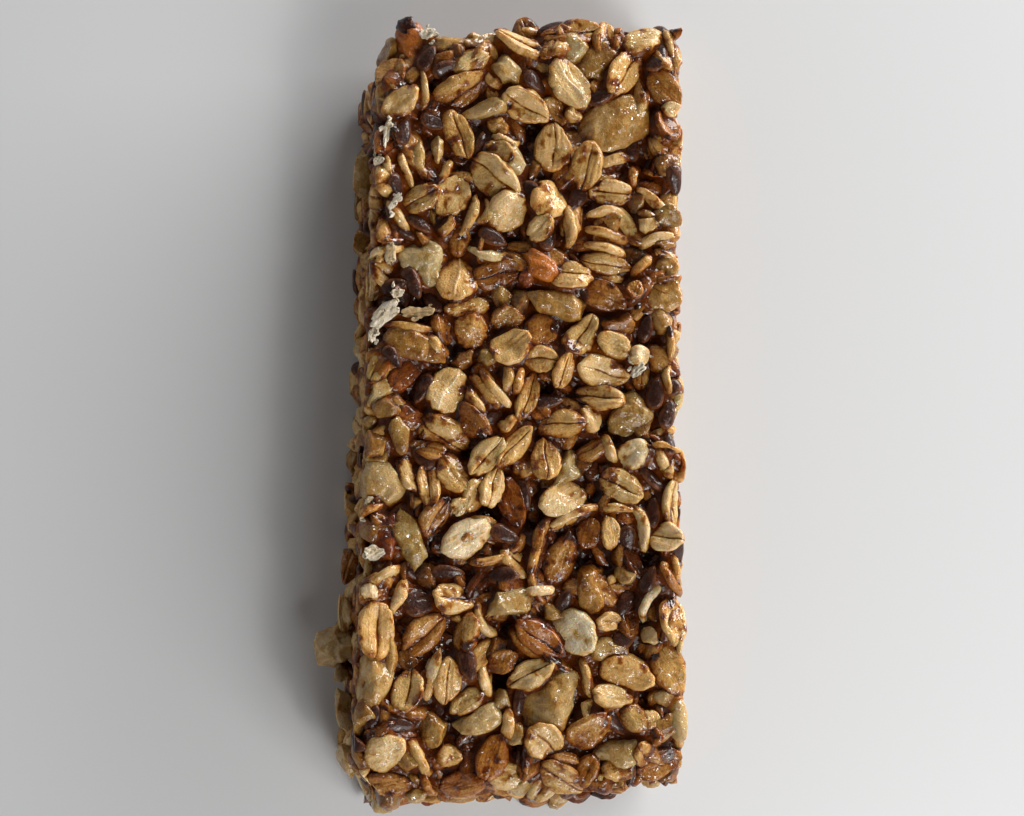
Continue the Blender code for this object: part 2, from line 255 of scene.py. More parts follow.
# Flax seeds as (x, y, length, turn in degrees).
FLAX_SEEDS = [
    (19.3, 52.3, 5.6, 65),
    (1.1, 47.3, 4.6, -35),
    (-14.6, 50.0, 4.2, 60),
    (-11.7, 48.7, 4.8, 25),
    (10.9, 45.8, 3.9, 20),
    (-6.6, 38.0, 4.2, 80),
    (1.0, 31.7, 4.2, -25),
    (-17.8, 39.2, 4.4, 75),
    (-13.4, 40.9, 4.5, -10),
    (-18.8, 31.2, 4.2, -70),
    (22.0, 34.2, 4.8, -75),
    (-4.8, 24.6, 4.5, -25),
    (3.4, 24.8, 4.3, 60),
    (-15.4, 26.2, 4.5, -40),
    (-18.9, 17.1, 4.2, 20),
    (-16.4, 17.6, 5.0, -60),
    (17.8, 12.4, 4.4, 70),
    (-18.9, 7.0, 3.8, -50),
    (3.6, 1.5, 4.8, 8),
    (19.2, 3.0, 4.7, 80),
    (21.0, 0.0, 4.4, 75),
    (21.2, -4.2, 3.8, 90),
    (-4.4, -1.2, 4.2, 24),
    (19.0, -9.2, 5.2, -50),
    (0.0, -12.0, 4.8, -70),
    (-2.5, -17.6, 4.6, -20),
    (18.8, -14.2, 5.0, 80),
    (15.3, -18.2, 5.0, -76),
    (-2.8, -23.2, 5.0, -3),
    (-10.6, -23.1, 5.0, 0),
    (6.2, -27.0, 4.5, 70),
    (-14.2, -27.7, 5.2, 10),
    (18.2, -23.7, 4.4, 65),
    (15.2, -31.8, 4.8, 40),
    (-7.7, -35.8, 5.0, -78),
    (13.6, -43.8, 4.7, -50),
    (-17.2, -44.1, 5.0, -5),
    (-20.8, -43.2, 4.2, 80),
    (-23.6, -46.6, 4.4, -20),
]
# Nut bits too small to be solids of their own, as (x, y, length, width, turn, shade). A shade of 0 is pale,
# 1 is golden and 2 is amber.
NUT_BITS = [
    (6.6, 52.4, 5.0, 4.6, 60, 0.3),
    (-6.0, 52.4, 8.4, 4.4, 10, 0.5),
    (-6.5, 43.0, 6.8, 3.2, 15, 0.2),
    (-1.5, 35.8, 4.6, 3.6, 80, 0.2),
    (1.2, 34.6, 3.6, 2.1, 72, 1.2),
    (-13.0, 37.0, 3.8, 2.0, -80, 0.1),
    (17.7, 27.4, 3.0, 2.6, 0, 0.2),
    (13.7, 12.6, 4.4, 3.8, 20, 1.8),
    (-8.6, 7.4, 2.8, 1.8, 30, 0.0),
    (-19.6, -0.6, 4.2, 3.0, 0, 1.6),
    (-17.6, -3.9, 6.4, 4.1, -52, 1.4),
    (-20.7, -5.4, 4.6, 3.4, 85, 1.4),
    (15.2, -22.6, 3.4, 2.8, 60, 0.5),
    (-1.2, -26.9, 8.8, 3.6, 4, 0.5),
    (18.4, -31.8, 2.8, 2.4, 0, 0.1),
    (12.6, -33.8, 5.2, 3.6, 10, 0.8),
    (-1.0, -45.6, 3.2, 3.0, 0, 0.1),
    (-16.2, -48.6, 4.4, 4.2, 40, 0.8),
    (0.2, -51.8, 7.6, 4.4, 8, 0.7),
]
# Single pieces of other kinds, or lower down, as (kind, x, y, height of the middle, length, width, turn,
# tone). The tone is an oat's toast or a nut's shade.
SINGLE_PIECES = [
    ("dried_fruit", -15.9, 52.4, 14.6, 6.6, 4.8, 118, 0.1),
    ("dried_fruit", -17.2, 54.6, 14.9, 3.4, 3.0, 100, 0.9),
    ("dried_fruit", 1.9, 20.9, 16.9, 5.4, 3.6, -30, 0.0),
    ("dried_fruit", 0.6, 19.4, 16.3, 3.4, 2.6, 60, 0.4),
    ("dried_fruit", -19.6, -18.0, 16.6, 7.0, 3.4, 90, 0.35),
    ("pale_crumbs", -14.6, 53.8, 16.3, 2.2, 1.6, 20, 0.0),
    ("pale_crumbs", -20.3, 38.8, 17.4, 3.8, 1.2, 80, 0.0),
    ("pale_crumbs", -22.3, 36.7, 16.4, 1.8, 1.2, 40, 0.0),
    ("pale_crumbs", -21.6, 34.8, 17.0, 1.9, 1.4, 0, 0.0),
    ("pale_crumbs", -19.1, 28.9, 17.8, 2.8, 1.0, 60, 0.0),
    ("pale_crumbs", -19.6, 21.6, 17.8, 3.6, 1.5, 90, 0.4),
    ("pale_crumbs", -18.6, 15.9, 17.9, 2.2, 1.1, 10, 0.0),
    ("pale_crumbs", -15.5, 13.4, 17.4, 4.6, 1.7, 8, 0.7),
    ("pale_crumbs", -21.9, 10.0, 17.0, 2.9, 1.4, 60, 0.1),
    ("pale_crumbs", -21.9, 18.0, 15.8, 5.4, 1.7, 90, 0.7),
    ("pale_crumbs", -21.9, -13.6, 16.8, 2.4, 1.4, 70, 0.2),
    ("pale_crumbs", -21.2, -20.4, 17.4, 3.0, 2.0, 10, 0.1),
    ("pale_crumbs", 16.4, 6.2, 17.6, 2.4, 1.6, 40, 0.0),
    ("nut_bits", -19.2, 50.0, 13.0, 6.2, 5.2, 60, 1.0),
    ("pale_crumbs", -20.2, 13.0, 17.5, 5.2, 2.4, 38, 0.1),
    ("nut_bits", -20.6, 2.2, 16.6, 4.6, 3.8, 30, 0.2),
    ("nut_bits", -24.4, -42.4, 8.5, 6.4, 4.2, 88, 0.4),
    ("nut_bits", -23.4, -50.0, 8.5, 5.0, 4.0, 100, 0.7),
    ("oats_left", -24.2, -22.4, 9.0, 5.2, 3.6, 70, 1.8),
    ("oats_left", -24.6, -28.8, 8.0, 5.6, 3.8, 100, 0.4),
    ("nut_bits", -24.4, -37.0, 5.5, 4.8, 4.0, 30, 1.1),
    ("nut_bits", -25.0, -32.8, 4.2, 6.0, 4.8, 80, 1.3),
    ("nut_bits", -24.0, 34.0, 9.5, 6.6, 5.0, 90, 0.8),
    ("nut_bits", -22.4, 23.8, 9.0, 5.0, 4.6, 0, 1.2),
    ("nut_bits", 14.5, -52.2, 15.6, 3.0, 2.2, 0, 1.2),
    ("nut_bits", -14.3, -53.6, 15.4, 2.7, 2.5, 0, 0.9),
]
# Each nut's shade, from 0 for pale to 2 for amber, and its warmth, from -3 for grey to 3 for yellow.
NUT_LOOKS = {
    "nut_far_right": (0.8, 2.0),
    "nut_far_edge": (0.85, 1.0),
    "nut_far_middle": (0.3, 0.0),
    "nut_far_brown": (0.95, 1.0),
    "nut_right_yellow": (0.45, 2.5),
    "nut_left_round": (0.3, -2.0),
    "nut_left_oval": (1.3, 1.0),
    "nut_clear_middle": (1.0, 1.5),
    "nut_right_wedge": (0.9, -1.5),
    "nut_grey_middle": (0.6, -2.0),
    "nut_left_cut": (0.15, 1.0),
    "nut_left_crescent": (0.9, -3.0),
    "nut_near_spear": (1.35, 1.5),
    "nut_left_wedge": (0.5, 1.5),
    "nut_near_middle": (0.75, 0.0),
    "nut_near_olive": (0.4, -0.5),
    "nut_near_brown": (1.0, 0.0),
    "nut_near_block": (0.4, 0.0),
    "nut_near_amber": (1.8, 1.0),
    "nut_flank": (0.3, 1.0),
}
CRUMBLY = {"nut_flank": 1.5}  # nuts that are rougher than the others, and how much
CRUMBLY_REACH = 3.1  # how far these reach to the left of their middle
HIGH_NUT = 12.0  # a nut with its middle above this shows in the top
HIGH_GROWTH, LOW_GROWTH = 1.14, 1.08  # how much a nut grows before its edges are broken off

# How things are strewn. Limits are those of a thing's top.
GROUND = 13.5  # the level that the first layer is laid on
STEEPEST = 0.4  # the steepest slope of the ground that a thing's tilt follows
BEDS = ((13.2, 15.6, 4.8), (15.2, 17.0, 4.0))  # both limits and the spacing of each layer under the top one
BED_BOX = ((-22, -54), (23.5, 55.5))
BED_TOP = 15.6  # the nut bits of the top layer have their tops above this
GAP_BOX = ((-21, -52), (22.5, 54.5))
GAP_LIMITS = (15.5, 16.7)
GAP_PITCH = 2.4
FACE_FOOT, FACE_HEAD, FACE_PITCH = 1.2, 17.6, 2.8  # of what is strewn in the sides and the ends
ENDS_LEFT, ENDS_RIGHT = -21.6, 22.2  # how far the things in the two ends go to either side
UNDERSIDE_LEFT, UNDERSIDE_RIGHT, UNDERSIDE_PITCH = -22.4, 22.8, 4.4
SIDE_HEAD, STICKING_OUT = 14.0, 2.5  # a single piece below this level may stick out of the left side so far
LONGER, WIDER = 1.08, 1.15  # how much larger a flake of the top layer is than its row says
SLIMMER, SLIMMER_NUT = np.array([0.93, 0.92, 0.72]), 0.86  # the copies that the syrup clings to


# Meshes ---------------------------------------------------------------------------------------------------


def linked(name, data):
    """A new object in the scene."""
    made = bpy.data.objects.new(name, data)
    bpy.context.scene.collection.objects.link(made)
    return made


def values_on(mesh, **values):
    """Stores a named value, or one for each point, on the mesh."""
    for name, value in values.items():
        attribute = mesh.attributes.new(name, "FLOAT", "POINT")
        attribute.data.foreach_set("value", np.broadcast_to(value, len(mesh.vertices)).astype(np.float32))


def dress(mesh, material, **values):
    """Gives the mesh its material and the values that the material reads."""
    values_on(mesh, **values)
    mesh.materials.clear()
    mesh.materials.append(material)
    mesh.shade_smooth()


class Heap:
    """Closed meshes that are joined into one piece, with named values at their points."""

    def __init__(self):
        self.points = []
        self.faces = []
        self.values = {}
        self.count = 0

    def add(self, points, faces, **values):
        self.points.append(points)
        self.faces.append(faces + self.count)
        for name, value in values.items():
            self.values.setdefault(name, []).append(np.broadcast_to(value, len(points)))
        self.count += len(points)

    def build(self, name, material):
        """The heap as one object, in metres. Every face has four corners."""
        points = np.concatenate(self.points) * MM
        faces = np.concatenate(self.faces)
        mesh = bpy.data.meshes.new(name)
        mesh.vertices.add(len(points))
        mesh.vertices.foreach_set("co", points.astype(np.float32).ravel())
        mesh.loops.add(faces.size)
        mesh.loops.foreach_set("vertex_index", faces.astype(np.int32).ravel())
        mesh.polygons.add(len(faces))
        mesh.polygons.foreach_set("loop_start", np.arange(0, faces.size, 4, dtype=np.int32))
        mesh.update(calc_edges=True)
        dress(mesh, material, **{name: np.concatenate(parts) for name, parts in self.values.items()})
        return linked(name, mesh)


def pillow(columns, rows):
    """A closed form over the square -1..1, as (a, b, side, faces): two grids that share their border points.

    The rows are denser in the middle, where an oat has its crease.
    """
    along, across = np.linspace(-1, 1, columns + 1), np.linspace(-1, 1, rows + 1)
    a, b = np.meshgrid(along, np.sign(across) * np.abs(across) ** 1.45, indexing="ij")
    upper = np.arange(a.size).reshape(a.shape)
    lower = upper.copy()
    lower[1:-1, 1:-1] = a.size + np.arange((columns - 1) * (rows - 1)).reshape(columns - 1, rows - 1)

    def quads(grid):
        return np.stack([grid[:-1, :-1], grid[1:, :-1], grid[1:, 1:], grid[:-1, 1:]], axis=-1).reshape(-1, 4)

    inner = (slice(1, -1), slice(1, -1))
    a = np.concatenate([a.ravel(), a[inner].ravel()])
    b = np.concatenate([b.ravel(), b[inner].ravel()])
    side = np.where(np.arange(a.size) < upper.size, 1.0, -1.0)
    return a, b, side, np.concatenate([quads(upper), quads(lower)[:, ::-1]])


GRIDS = {grid: pillow(*grid) for grid in (FINE, MEDIUM, COARSE, SEED_GRID)}


def disk(grid):
    """The grid's points on the unit disk, as (u, v, distance from the middle, side, faces)."""
    a, b, side, faces = GRIDS[grid]
    u = a * np.sqrt(1.0 - b * b / 2)
    v = b * np.sqrt(1.0 - a * a / 2)
    return u, v, np.minimum(np.hypot(u, v), 1.0), side, faces


def turned(points, turn, roll, pitch, middle):
    """The points rolled about X, pitched about Y, turned about Z and moved to the middle."""
    spin = Matrix.Rotation(turn, 3, "Z") @ Matrix.Rotation(pitch, 3, "Y") @ Matrix.Rotation(roll, 3, "X")
    return points @ np.array(spin).T + np.asarray(middle)


def wobble(u, v, chance, amount, waves=range(2, 6)):
    """An uneven outline, as a factor on the distance from the middle."""
    angle = np.arctan2(v, u)
    return 1.0 + sum(amount / n * np.cos(n * angle + chance.uniform(0, math.tau)) for n in waves)


def ripple(u, v, chance, amount, pitch, count=4):
    """Smooth uneven heights over the disk, with bumps about this far apart."""
    total = np.zeros(len(u))
    for _ in range(count):
        angle = chance.uniform(0, math.tau)
        across = u * math.cos(angle) + v * math.sin(angle)
        total += np.sin(across * math.pi / pitch * chance.uniform(0.7, 1.4) + chance.uniform(0, math.tau))
    return total * amount / math.sqrt(count / 2)


def smooth_step(t):
    t = np.clip(t, 0.0, 1.0)
    return t * t * (3.0 - 2.0 * t)


def splits(angle, chance):
    """Narrow splits in a flake's rim, as 0 to 1 at these angles."""
    split = np.zeros(len(angle))
    for _ in range(chance.integers(2, 7)):
        facing = np.cos(angle - chance.uniform(0, math.tau)) - 1.0
        split = np.maximum(split, chance.uniform(0.3, 1.0) * np.exp(facing / chance.uniform(0.0012, 0.012)))
    return split


def flake_shape(chance, length, width, thickness, crease, grid=FINE):
    """One rolled oat about the origin, with its length along X, as (points, faces, values).

    The crease is 1 for a flake that shows its groove, 0 for one that shows its back, and less for a ridge.
    """
    u, straight, r, side, faces = disk(grid)
    bend = chance.uniform(-0.14, 0.14) + chance.uniform(-0.2, 0.2) * u
    v = straight + (1.0 - r**2) * (bend + 0.05 * np.sin(chance.uniform(3, 5) * u + chance.uniform(0, 6)))
    angle = np.arctan2(v, u)
    outline = wobble(u, v, chance, 0.055)
    outline += 0.018 * np.cos(chance.integers(6, 12) * angle + chance.uniform(0, 6))
    split = splits(angle, chance) * r**6
    outline -= 0.10 * split
    if chance.random() < 0.4:  # a part is broken off
        facing = np.cos(angle - chance.uniform(0, math.tau))
        outline = np.minimum(outline, chance.uniform(0.84, 0.96) / np.maximum(facing, 0.01))
    taper = chance.uniform(0.0, 0.2)
    x = u * outline * length / 2
    y = v * outline * width / 2 * (1.0 - taper * u) * (1.0 - chance.uniform(0.0, 0.3) * u * u)
    dome = np.clip(1.0 - r ** chance.uniform(4.5, 9.0), 0.0, 1.0) ** 0.5
    ends = np.clip(1.0 - np.abs(u - chance.uniform(-0.15, 0.15)) ** chance.uniform(4, 9), 0, 1)
    groove = np.exp(-((straight / 0.05) ** 2)) * ends
    valley = np.exp(-((straight / chance.uniform(0.25, 0.5)) ** 2)) * ends * chance.uniform(0.0, 0.25)
    upper = 0.5 * dome - crease * (0.12 * groove + valley) - 0.10 * split
    z = thickness * np.where(side > 0, upper, -0.42 * dome)
    z += ripple(u, v, chance, 0.11, 0.9)
    top = np.where(side > 0, dome, 0)
    wrinkles = ripple(u, v, chance, 0.055, 0.45) + ripple(0.3 * u, v, chance, 0.03, 0.2)
    z += top * (wrinkles + ripple(u, v, chance, 0.022, 0.13))
    z += chance.normal(0, 0.05) * length * u * u + chance.normal(0, 0.08) * width * v * v
    z += chance.normal(0, 0.3) * u * v
    stained = smooth_step((chance.choice([-1, 1]) * u + chance.normal(0, 0.4) * v - 0.35) / 0.6)
    rim = np.clip(chance.uniform(0.1, 0.8) * r**5 + chance.uniform(0, 1) * stained + 0.5 * split, 0, 1)
    values = {"rim": rim, "groove": groove * crease * (side > 0), "along": u, "across": v}
    return np.stack([x, y, z], axis=1), faces, values


def seed_shape(length):
    """One flax seed: a flat drop, pointed at one end."""
    u, v, r, side, faces = disk(SEED_GRID)
    width = 0.54 * length
    x = u * length / 2
    y = v * width / 2 * (1.0 - 0.32 * u - 0.12 * u**3)
    z = side * 0.62 * np.sqrt(np.clip(1.0 - r**2.2, 0, 1))
    return np.stack([x, y, z], axis=1), faces, {"rim": r**6, "along": u, "across": v}


def chopped(points, chance, facets, low, high, reach=None):
    """The points with facets cut off at these shares of the reach, or of how far they go that way."""
    for _ in range(facets):
        facing = chance.normal(size=3)
        facing /= np.linalg.norm(facing)
        towards = points @ facing
        limit = chance.uniform(low, high) * (reach or towards.max())
        points = points - np.outer(np.clip(towards - limit, 0, None), facing)
    return points


def nut_bit_shape(chance, length, width, height, grid=MEDIUM, facets=NUT_FACETS):
    """A chopped crumb of nut: a rounded block with broken faces. With few facets it is a shrivelled fruit."""
    u, v, r, side, faces = disk(grid)
    z = side * np.sqrt(np.clip(1.0 - r * r, 0, 1))
    p = np.stack([u, v, z], axis=1)
    p = chopped(np.sign(p) * np.abs(p) ** 0.82, chance, facets, 0.48, 0.84, reach=1.0)
    uneven = sum(np.sin(p @ chance.normal(0, 4.5, 3) + chance.uniform(0, 6)) for _ in range(5))
    p *= 1.03 + 0.01 * facets + 0.035 * uneven[:, None]
    return p * np.array([length, width, height]) / 2, faces, {"along": u, "across": v}


def torn_shape(chance, length, width, grid=MEDIUM):
    """A scrap of dry husk with a ragged outline, curled and pitted."""
    u, v, r, side, faces = disk(grid)
    outline = wobble(u, v, chance, 0.2) + (wobble(u, v, chance, 0.22, range(6, 15)) - 1.0) * r
    x, y = u * outline * length / 2, v * outline * width / 2
    z = side * 0.22 * np.sqrt(np.clip(1.0 - r**4, 0, 1)) + ripple(u, v, chance, 0.06, 0.3)
    z += chance.uniform(0.1, 0.5) * u * u + chance.normal(0, 0.3) * u * v
    return np.stack([x, y, z], axis=1), faces, {"along": u, "across": v}


# The layout -----------------------------------------------------------------------------------------------


class Relief:
    """The height of what has been laid so far, on a grid over the top of the bar, in millimetres."""

    CELL = 0.4
    LOW = np.array([-30.0, -62.0])
    SHAPE = (150, 310)

    def __init__(self, level):
        self.height = np.full(self.SHAPE, level)

    def cells(self, xy):
        index = ((xy - self.LOW) / self.CELL).astype(int)
        return np.clip(index[:, 0], 0, self.SHAPE[0] - 1), np.clip(index[:, 1], 0, self.SHAPE[1] - 1)

    def slope_under(self, xy):
        """(height at the middle, slope along x, slope along y) of the ground under these points."""
        ground = self.height[self.cells(xy)]
        away = xy - xy.mean(axis=0)
        fit = np.linalg.lstsq(np.column_stack([away, np.ones(len(away))]), ground, rcond=None)[0]
        bumps = ground - away @ fit[:2] - fit[2]
        return fit[2] + np.quantile(bumps, 0.75), fit[0], fit[1]

    def lay(self, points):
        np.maximum.at(self.height, self.cells(points[:, :2]), points[:, 2])

    def sunk(self, points):
        """How far these points lie below the mean height round them, 0 to 1: painted shade and pooled syrup.
        """
        mean = self.height
        for axis in (0, 1):
            mean = sum(np.roll(mean, step, axis) for step in range(-3, 4)) / 7
        below = np.clip((mean[self.cells(points[:, :2])] - points[:, 2]) / 1.6, 0, 1)
        return below * np.clip((points[:, 2] - 11.0) / 3.0, 0, 1)


def crowding(groups):
    """For each group of pieces' points, how crowded each point is: high where pieces touch, painted as glue
    and shade.
    """
    cell, low = 0.55, np.array([-32.0, -64.0, -2.0])
    count = np.zeros((120, 232, 44))

    def cells(points):
        return tuple(((points - low) / cell).astype(int).T)

    for group in groups:
        for points in group:
            count[tuple(np.unique(np.array(cells(points)), axis=1))] += 1
    for axis in (0, 1, 2):
        count = (np.roll(count, 1, axis) + count + np.roll(count, -1, axis)) / 3
    return [[np.clip((count[cells(points)] - 0.75) / 1.0, 0, 1) for points in group] for group in groups]


def lost(loss, reached):
    """How much is missing at this place, which is measured towards where most of it is."""
    amount, start, length = loss
    return amount * smooth_step((reached - start) / length)


def cut_planes(y, z):
    """The x of the left and of the right cut face at these places."""
    share = (FAR_END - y) / (FAR_END - NEAR_END)
    lean = SIDE_LEAN * (1.0 - z / TOP)
    left = LEFT_CUT[0] + share * (LEFT_CUT[1] - LEFT_CUT[0]) - lean + lost(LEFT_NEAR_LOSS, -y)
    right = RIGHT_CUT[0] + share * (RIGHT_CUT[1] - RIGHT_CUT[0]) + lean
    return left, right


def broken_ends(x, z):
    """The y of the far and of the near end at these places."""
    far = FAR_END - FAR_SLANT * smooth_step(0.5 - 0.07 * x) - lost(FAR_LEFT_LOSS, -x)
    near = NEAR_END + END_LEAN * (z / TOP - 0.5) + lost(NEAR_RIGHT_LOSS, x)
    return far, near


def crown(x, y):
    """The height of the highest oats at this place."""
    far, near = broken_ends(x, TOP)
    chip = CHIP_DEPTH * smooth_step(1.0 - math.hypot(x - LEFT_CUT[0], y - FAR_END) / CHIP_REACH)
    near_fall = NEAR_FALL[0] * max(0.0, near + NEAR_FALL[1] - y)
    far_fall = FAR_FALL[0] * max(0.0, y + FAR_FALL[1] - far)
    return TOP + 0.15 - chip - near_fall - far_fall


def trimmed(points, allowed):
    """(points, cut): the points pressed back to this far outside the cut faces, and where the knife went."""
    points = points.copy()
    cut = np.zeros(len(points))
    for side, face in zip((-1, 1), cut_planes(points[:, 1], points[:, 2])):
        over = np.maximum((points[:, 0] - face) * side, 0)
        points[:, 0] -= side * (over - allowed * (1.0 - np.exp(-over / allowed)))
        cut = np.maximum(cut, over > 2.0 * allowed)
    pressed = PRESSED - (PRESSED - points[:, 2]) / PRESSING
    points[:, 2] = np.where(points[:, 2] < PRESSED, np.maximum(pressed, LOWEST), points[:, 2])
    return points, cut


def depth(points):
    """How deep these points lie under the block's nearest face."""
    x, y, z = points.T
    left, right = cut_planes(y, z)
    far, near = broken_ends(x, z)
    return np.min([TOP - z, x - left, right - x, far - y, y - near, z], axis=0)


class Bar:
    """All that is laid: each thing in the heap of its kind, and a slimmer copy of it in the syrup's core."""

    def __init__(self):
        self.chance = None
        self.relief = Relief(GROUND)
        self.heaps = {}
        self.core = Heap()

    def add(self, kind, shape, turn, roll, pitch, middle, allowed=None, **values):
        """Adds a shape, which may stick out of the cut faces by this much."""
        points, faces, own = shape
        allowed = allowed or self.chance.uniform(0.05, 0.6)
        placed = turned(points, turn, roll, pitch, middle)
        self.relief.lay(placed)
        placed, cut = trimmed(placed, allowed)
        soak = np.clip((depth(placed) - 0.5) / 3.2, 0, 1)
        heap = self.heaps.setdefault(kind, Heap())
        tag, tint = self.chance.uniform(0, 100), self.chance.normal(0, 1)
        heap.add(placed, faces, **own, cut=cut, soak=soak, tag=tag, tint=tint, **values)
        inner, _ = trimmed(turned(points * SLIMMER, turn, roll, pitch, middle), allowed)
        left, right = cut_planes(inner[:, 1], inner[:, 2])
        inner[:, 0] = np.clip(inner[:, 0], left + 1.0, right - 1.0)
        self.core.add(inner, faces)

    def settle(self, kind, shape, turn, place, lowest, highest, sink=0.45, **values):
        """Lays a flat thing on what is there, tilted as its ground is, with its top in these limits."""
        points = shape[0]
        flat = turned(points, turn, 0, 0, (*place, 0))
        level, slope_x, slope_y = self.relief.slope_under(flat[:, :2])
        slope = np.clip(np.array([slope_x, slope_y]), -STEEPEST, STEEPEST)
        along = slope @ np.array([math.cos(turn), math.sin(turn)])
        over = slope @ np.array([-math.sin(turn), math.cos(turn)])
        pitch = -math.atan(along) + self.chance.normal(0, 0.10)
        roll = math.atan(over) + self.chance.normal(0, 0.18)
        half = float(points[:, 2].max())
        z = np.clip(level + half * sink, lowest - half, highest - half)
        self.add(kind, shape, turn, roll, pitch, (*place, z), **values)


def strewn(chance, low, high, pitch):
    """Jittered places (x, y) over the box, about this far apart."""
    for x in np.arange(low[0] + pitch / 2, high[0], pitch):
        for y in np.arange(low[1] + pitch / 2, high[1], pitch):
            yield x + chance.uniform(-0.45, 0.45) * pitch, y + chance.uniform(-0.45, 0.45) * pitch


def any_toast(chance):
    """The toast of a strewn flake, which is golden on average."""
    return float(np.clip(chance.normal(0.95, 0.5), 0.0, 2.3))


def any_flake(chance):
    """A strewn flake of any size, with its groove up or down."""
    crease = float(chance.random() < 0.6)
    length, width = chance.uniform(5.6, 8.2), chance.uniform(3.6, 5.2)
    return flake_shape(chance, length, width, OAT_THICKNESS * chance.uniform(0.75, 1.1), crease, COARSE)


def small_flake(chance):
    """A flake that fits in a gap of the top layer."""
    length, width = chance.uniform(4.5, 6.5), chance.uniform(3, 4.2)
    return flake_shape(chance, length, width, OAT_THICKNESS, 0.4, COARSE)


# What is strewn in one place. A draw below the first share gives an oat, one below the second a seed, and any
# other a nut bit. A side of the bit that is a pair is drawn too.
Mix = namedtuple("Mix", "shares flake browner seed_length bit shades")
BED_MIX = Mix((0.76, 0.86), any_flake, 0.5, 4.8, (4.6, 3.6, 3.0), (0.6, 2.0))
GAP_MIX = Mix((0.60, 0.75), small_flake, 0.8, 4.6, (4.6, 3.4, 3.0), (0.6, 1.8))
FACE_MIX = Mix((0.78, 0.86), any_flake, 0.0, 4.8, ((4, 6.5), (3.4, 5), 3.4), (0, 1.8))


def strewn_thing(chance, what, kind, mix):
    """What this draw gives: (kind, shape, values), where an oat is of the kind that is given."""
    if what < mix.shares[0]:
        return kind, mix.flake(chance), {"toast": any_toast(chance) + mix.browner}
    if what < mix.shares[1]:
        return "flax_seeds", seed_shape(mix.seed_length), {}
    sides = [chance.uniform(*side) if isinstance(side, tuple) else side for side in mix.bit]
    bit = nut_bit_shape(chance, *sides, COARSE)
    return "nut_bits", bit, {"shade": chance.uniform(*mix.shades)}


def lay_bed(bar, lowest, highest, pitch):
    """The flakes, seeds and bits of one layer under the top one, which show between its flakes."""
    chance = bar.chance
    for x, y in strewn(chance, *BED_BOX, pitch):
        turn = chance.uniform(0, math.tau)
        what = chance.random()
        far, near = broken_ends(x, TOP)
        if near - 1.0 < y < far + 0.5 and crown(x, y) >= highest:
            kind, shape, values = strewn_thing(chance, what, "oats_under", BED_MIX)
            bar.settle(kind, shape, turn, (x, y), lowest, highest, **values)


def lay_beds(bar):
    """All that lies under the top layer, from the lowest up."""
    for bed in BEDS:
        lay_bed(bar, *bed)


def lay_top(bar):
    """The layer that is listed piece by piece. It lies lower along the broken edges."""
    chance = bar.chance
    for x, y, length, width, turn, shade in NUT_BITS:
        bit = nut_bit_shape(chance, length, width, 0.75 * width)
        bar.settle("nut_bits", bit, math.radians(turn), (x, y), BED_TOP, crown(x, y), shade=shade)
    for x, y, length, turn in FLAX_SEEDS:
        top = crown(x, y) - 0.5
        bar.settle("flax_seeds", seed_shape(length), math.radians(turn), (x, y), top - 1.0, top, sink=0.9)
    for x, y, length, width, turn, toast in OATS_ON_EDGE:
        breadth = chance.uniform(3.8, 4.6)
        thickness = OAT_THICKNESS * chance.uniform(0.9, 1.15)
        flake = flake_shape(chance, LONGER * length, breadth, thickness, 0.8, MEDIUM)
        roll = math.copysign(math.acos(width / breadth), x)
        middle = (x, y, crown(x, y) - chance.uniform(0.1, 0.5) - 2.0)
        pitch = chance.normal(0, 0.08)
        bar.add("oats_on_edge", flake, math.radians(turn), roll, pitch, middle, toast=toast - 0.3)
    flat = [(*row, 0.12, "smooth_oats") for row in SMOOTH_OATS]
    flat += [(*row, 1.0, "creased_oats") for row in CREASED_OATS]
    flat += [(*row, -0.7, "creased_oats") for row in WHITE_CREASED_OATS]
    for x, y, length, width, turn, toast, crease, kind in flat:
        toast = TOAST_MIDDLE[1] + TOAST_CONTRAST * (toast - TOAST_MIDDLE[0])
        thickness = OAT_THICKNESS * chance.uniform(0.85, 1.1)
        flake = flake_shape(chance, LONGER * length, WIDER * width, thickness, crease)
        top = crown(x, y)
        bar.settle(kind, flake, math.radians(turn), (x, y), top - 1.3, top, toast=toast)
    for kind, x, y, z, length, width, turn, tone in SINGLE_PIECES:
        lay_single(bar, kind, (x, y, z), length, width, math.radians(turn), tone)


def lay_single(bar, kind, middle, length, width, turn, tone):
    """One piece at its own height. Those low in the left side stick out of it."""
    chance = bar.chance
    tilt = chance.normal(0, 0.15), chance.normal(0, 0.15)
    allowed = None if middle[2] > SIDE_HEAD else STICKING_OUT
    if kind == "pale_crumbs":
        lay_crumbs(bar, middle, length, width, turn, tone)
    elif kind == "oats_left":
        flake = flake_shape(chance, length, width, OAT_THICKNESS, 0.0, MEDIUM)
        bar.add(kind, flake, turn, *tilt, middle, allowed, toast=tone)
    else:
        facets = FRUIT_FACETS if kind == "dried_fruit" else NUT_FACETS
        bit = nut_bit_shape(chance, length, width, 0.7 * width, facets=facets)
        bar.add(kind, bit, turn, *tilt, middle, allowed, shade=tone)


def lay_crumbs(bar, middle, length, width, turn, tone):
    """A torn dry sliver with a few crumbs about it."""
    chance = bar.chance
    sliver = torn_shape(chance, length, width)
    tilt = chance.normal(0, 0.25), chance.normal(0, 0.15)
    bar.add("pale_crumbs", sliver, turn, *tilt, middle, shade=tone)
    for _ in range(4):
        size = chance.uniform(0.3, 0.8)
        along, across = chance.normal(0, 0.4) * length, chance.normal(0, 0.5) * width
        x = middle[0] + along * math.cos(turn) - across * math.sin(turn)
        y = middle[1] + along * math.sin(turn) + across * math.cos(turn)
        z = middle[2] + chance.uniform(-0.4, 0.3)
        crumb = torn_shape(chance, 1.5 * size, size, SEED_GRID)
        bar.add("pale_crumbs", crumb, chance.uniform(0, 6), chance.normal(0, 0.6), 0.0, (x, y, z), shade=tone)


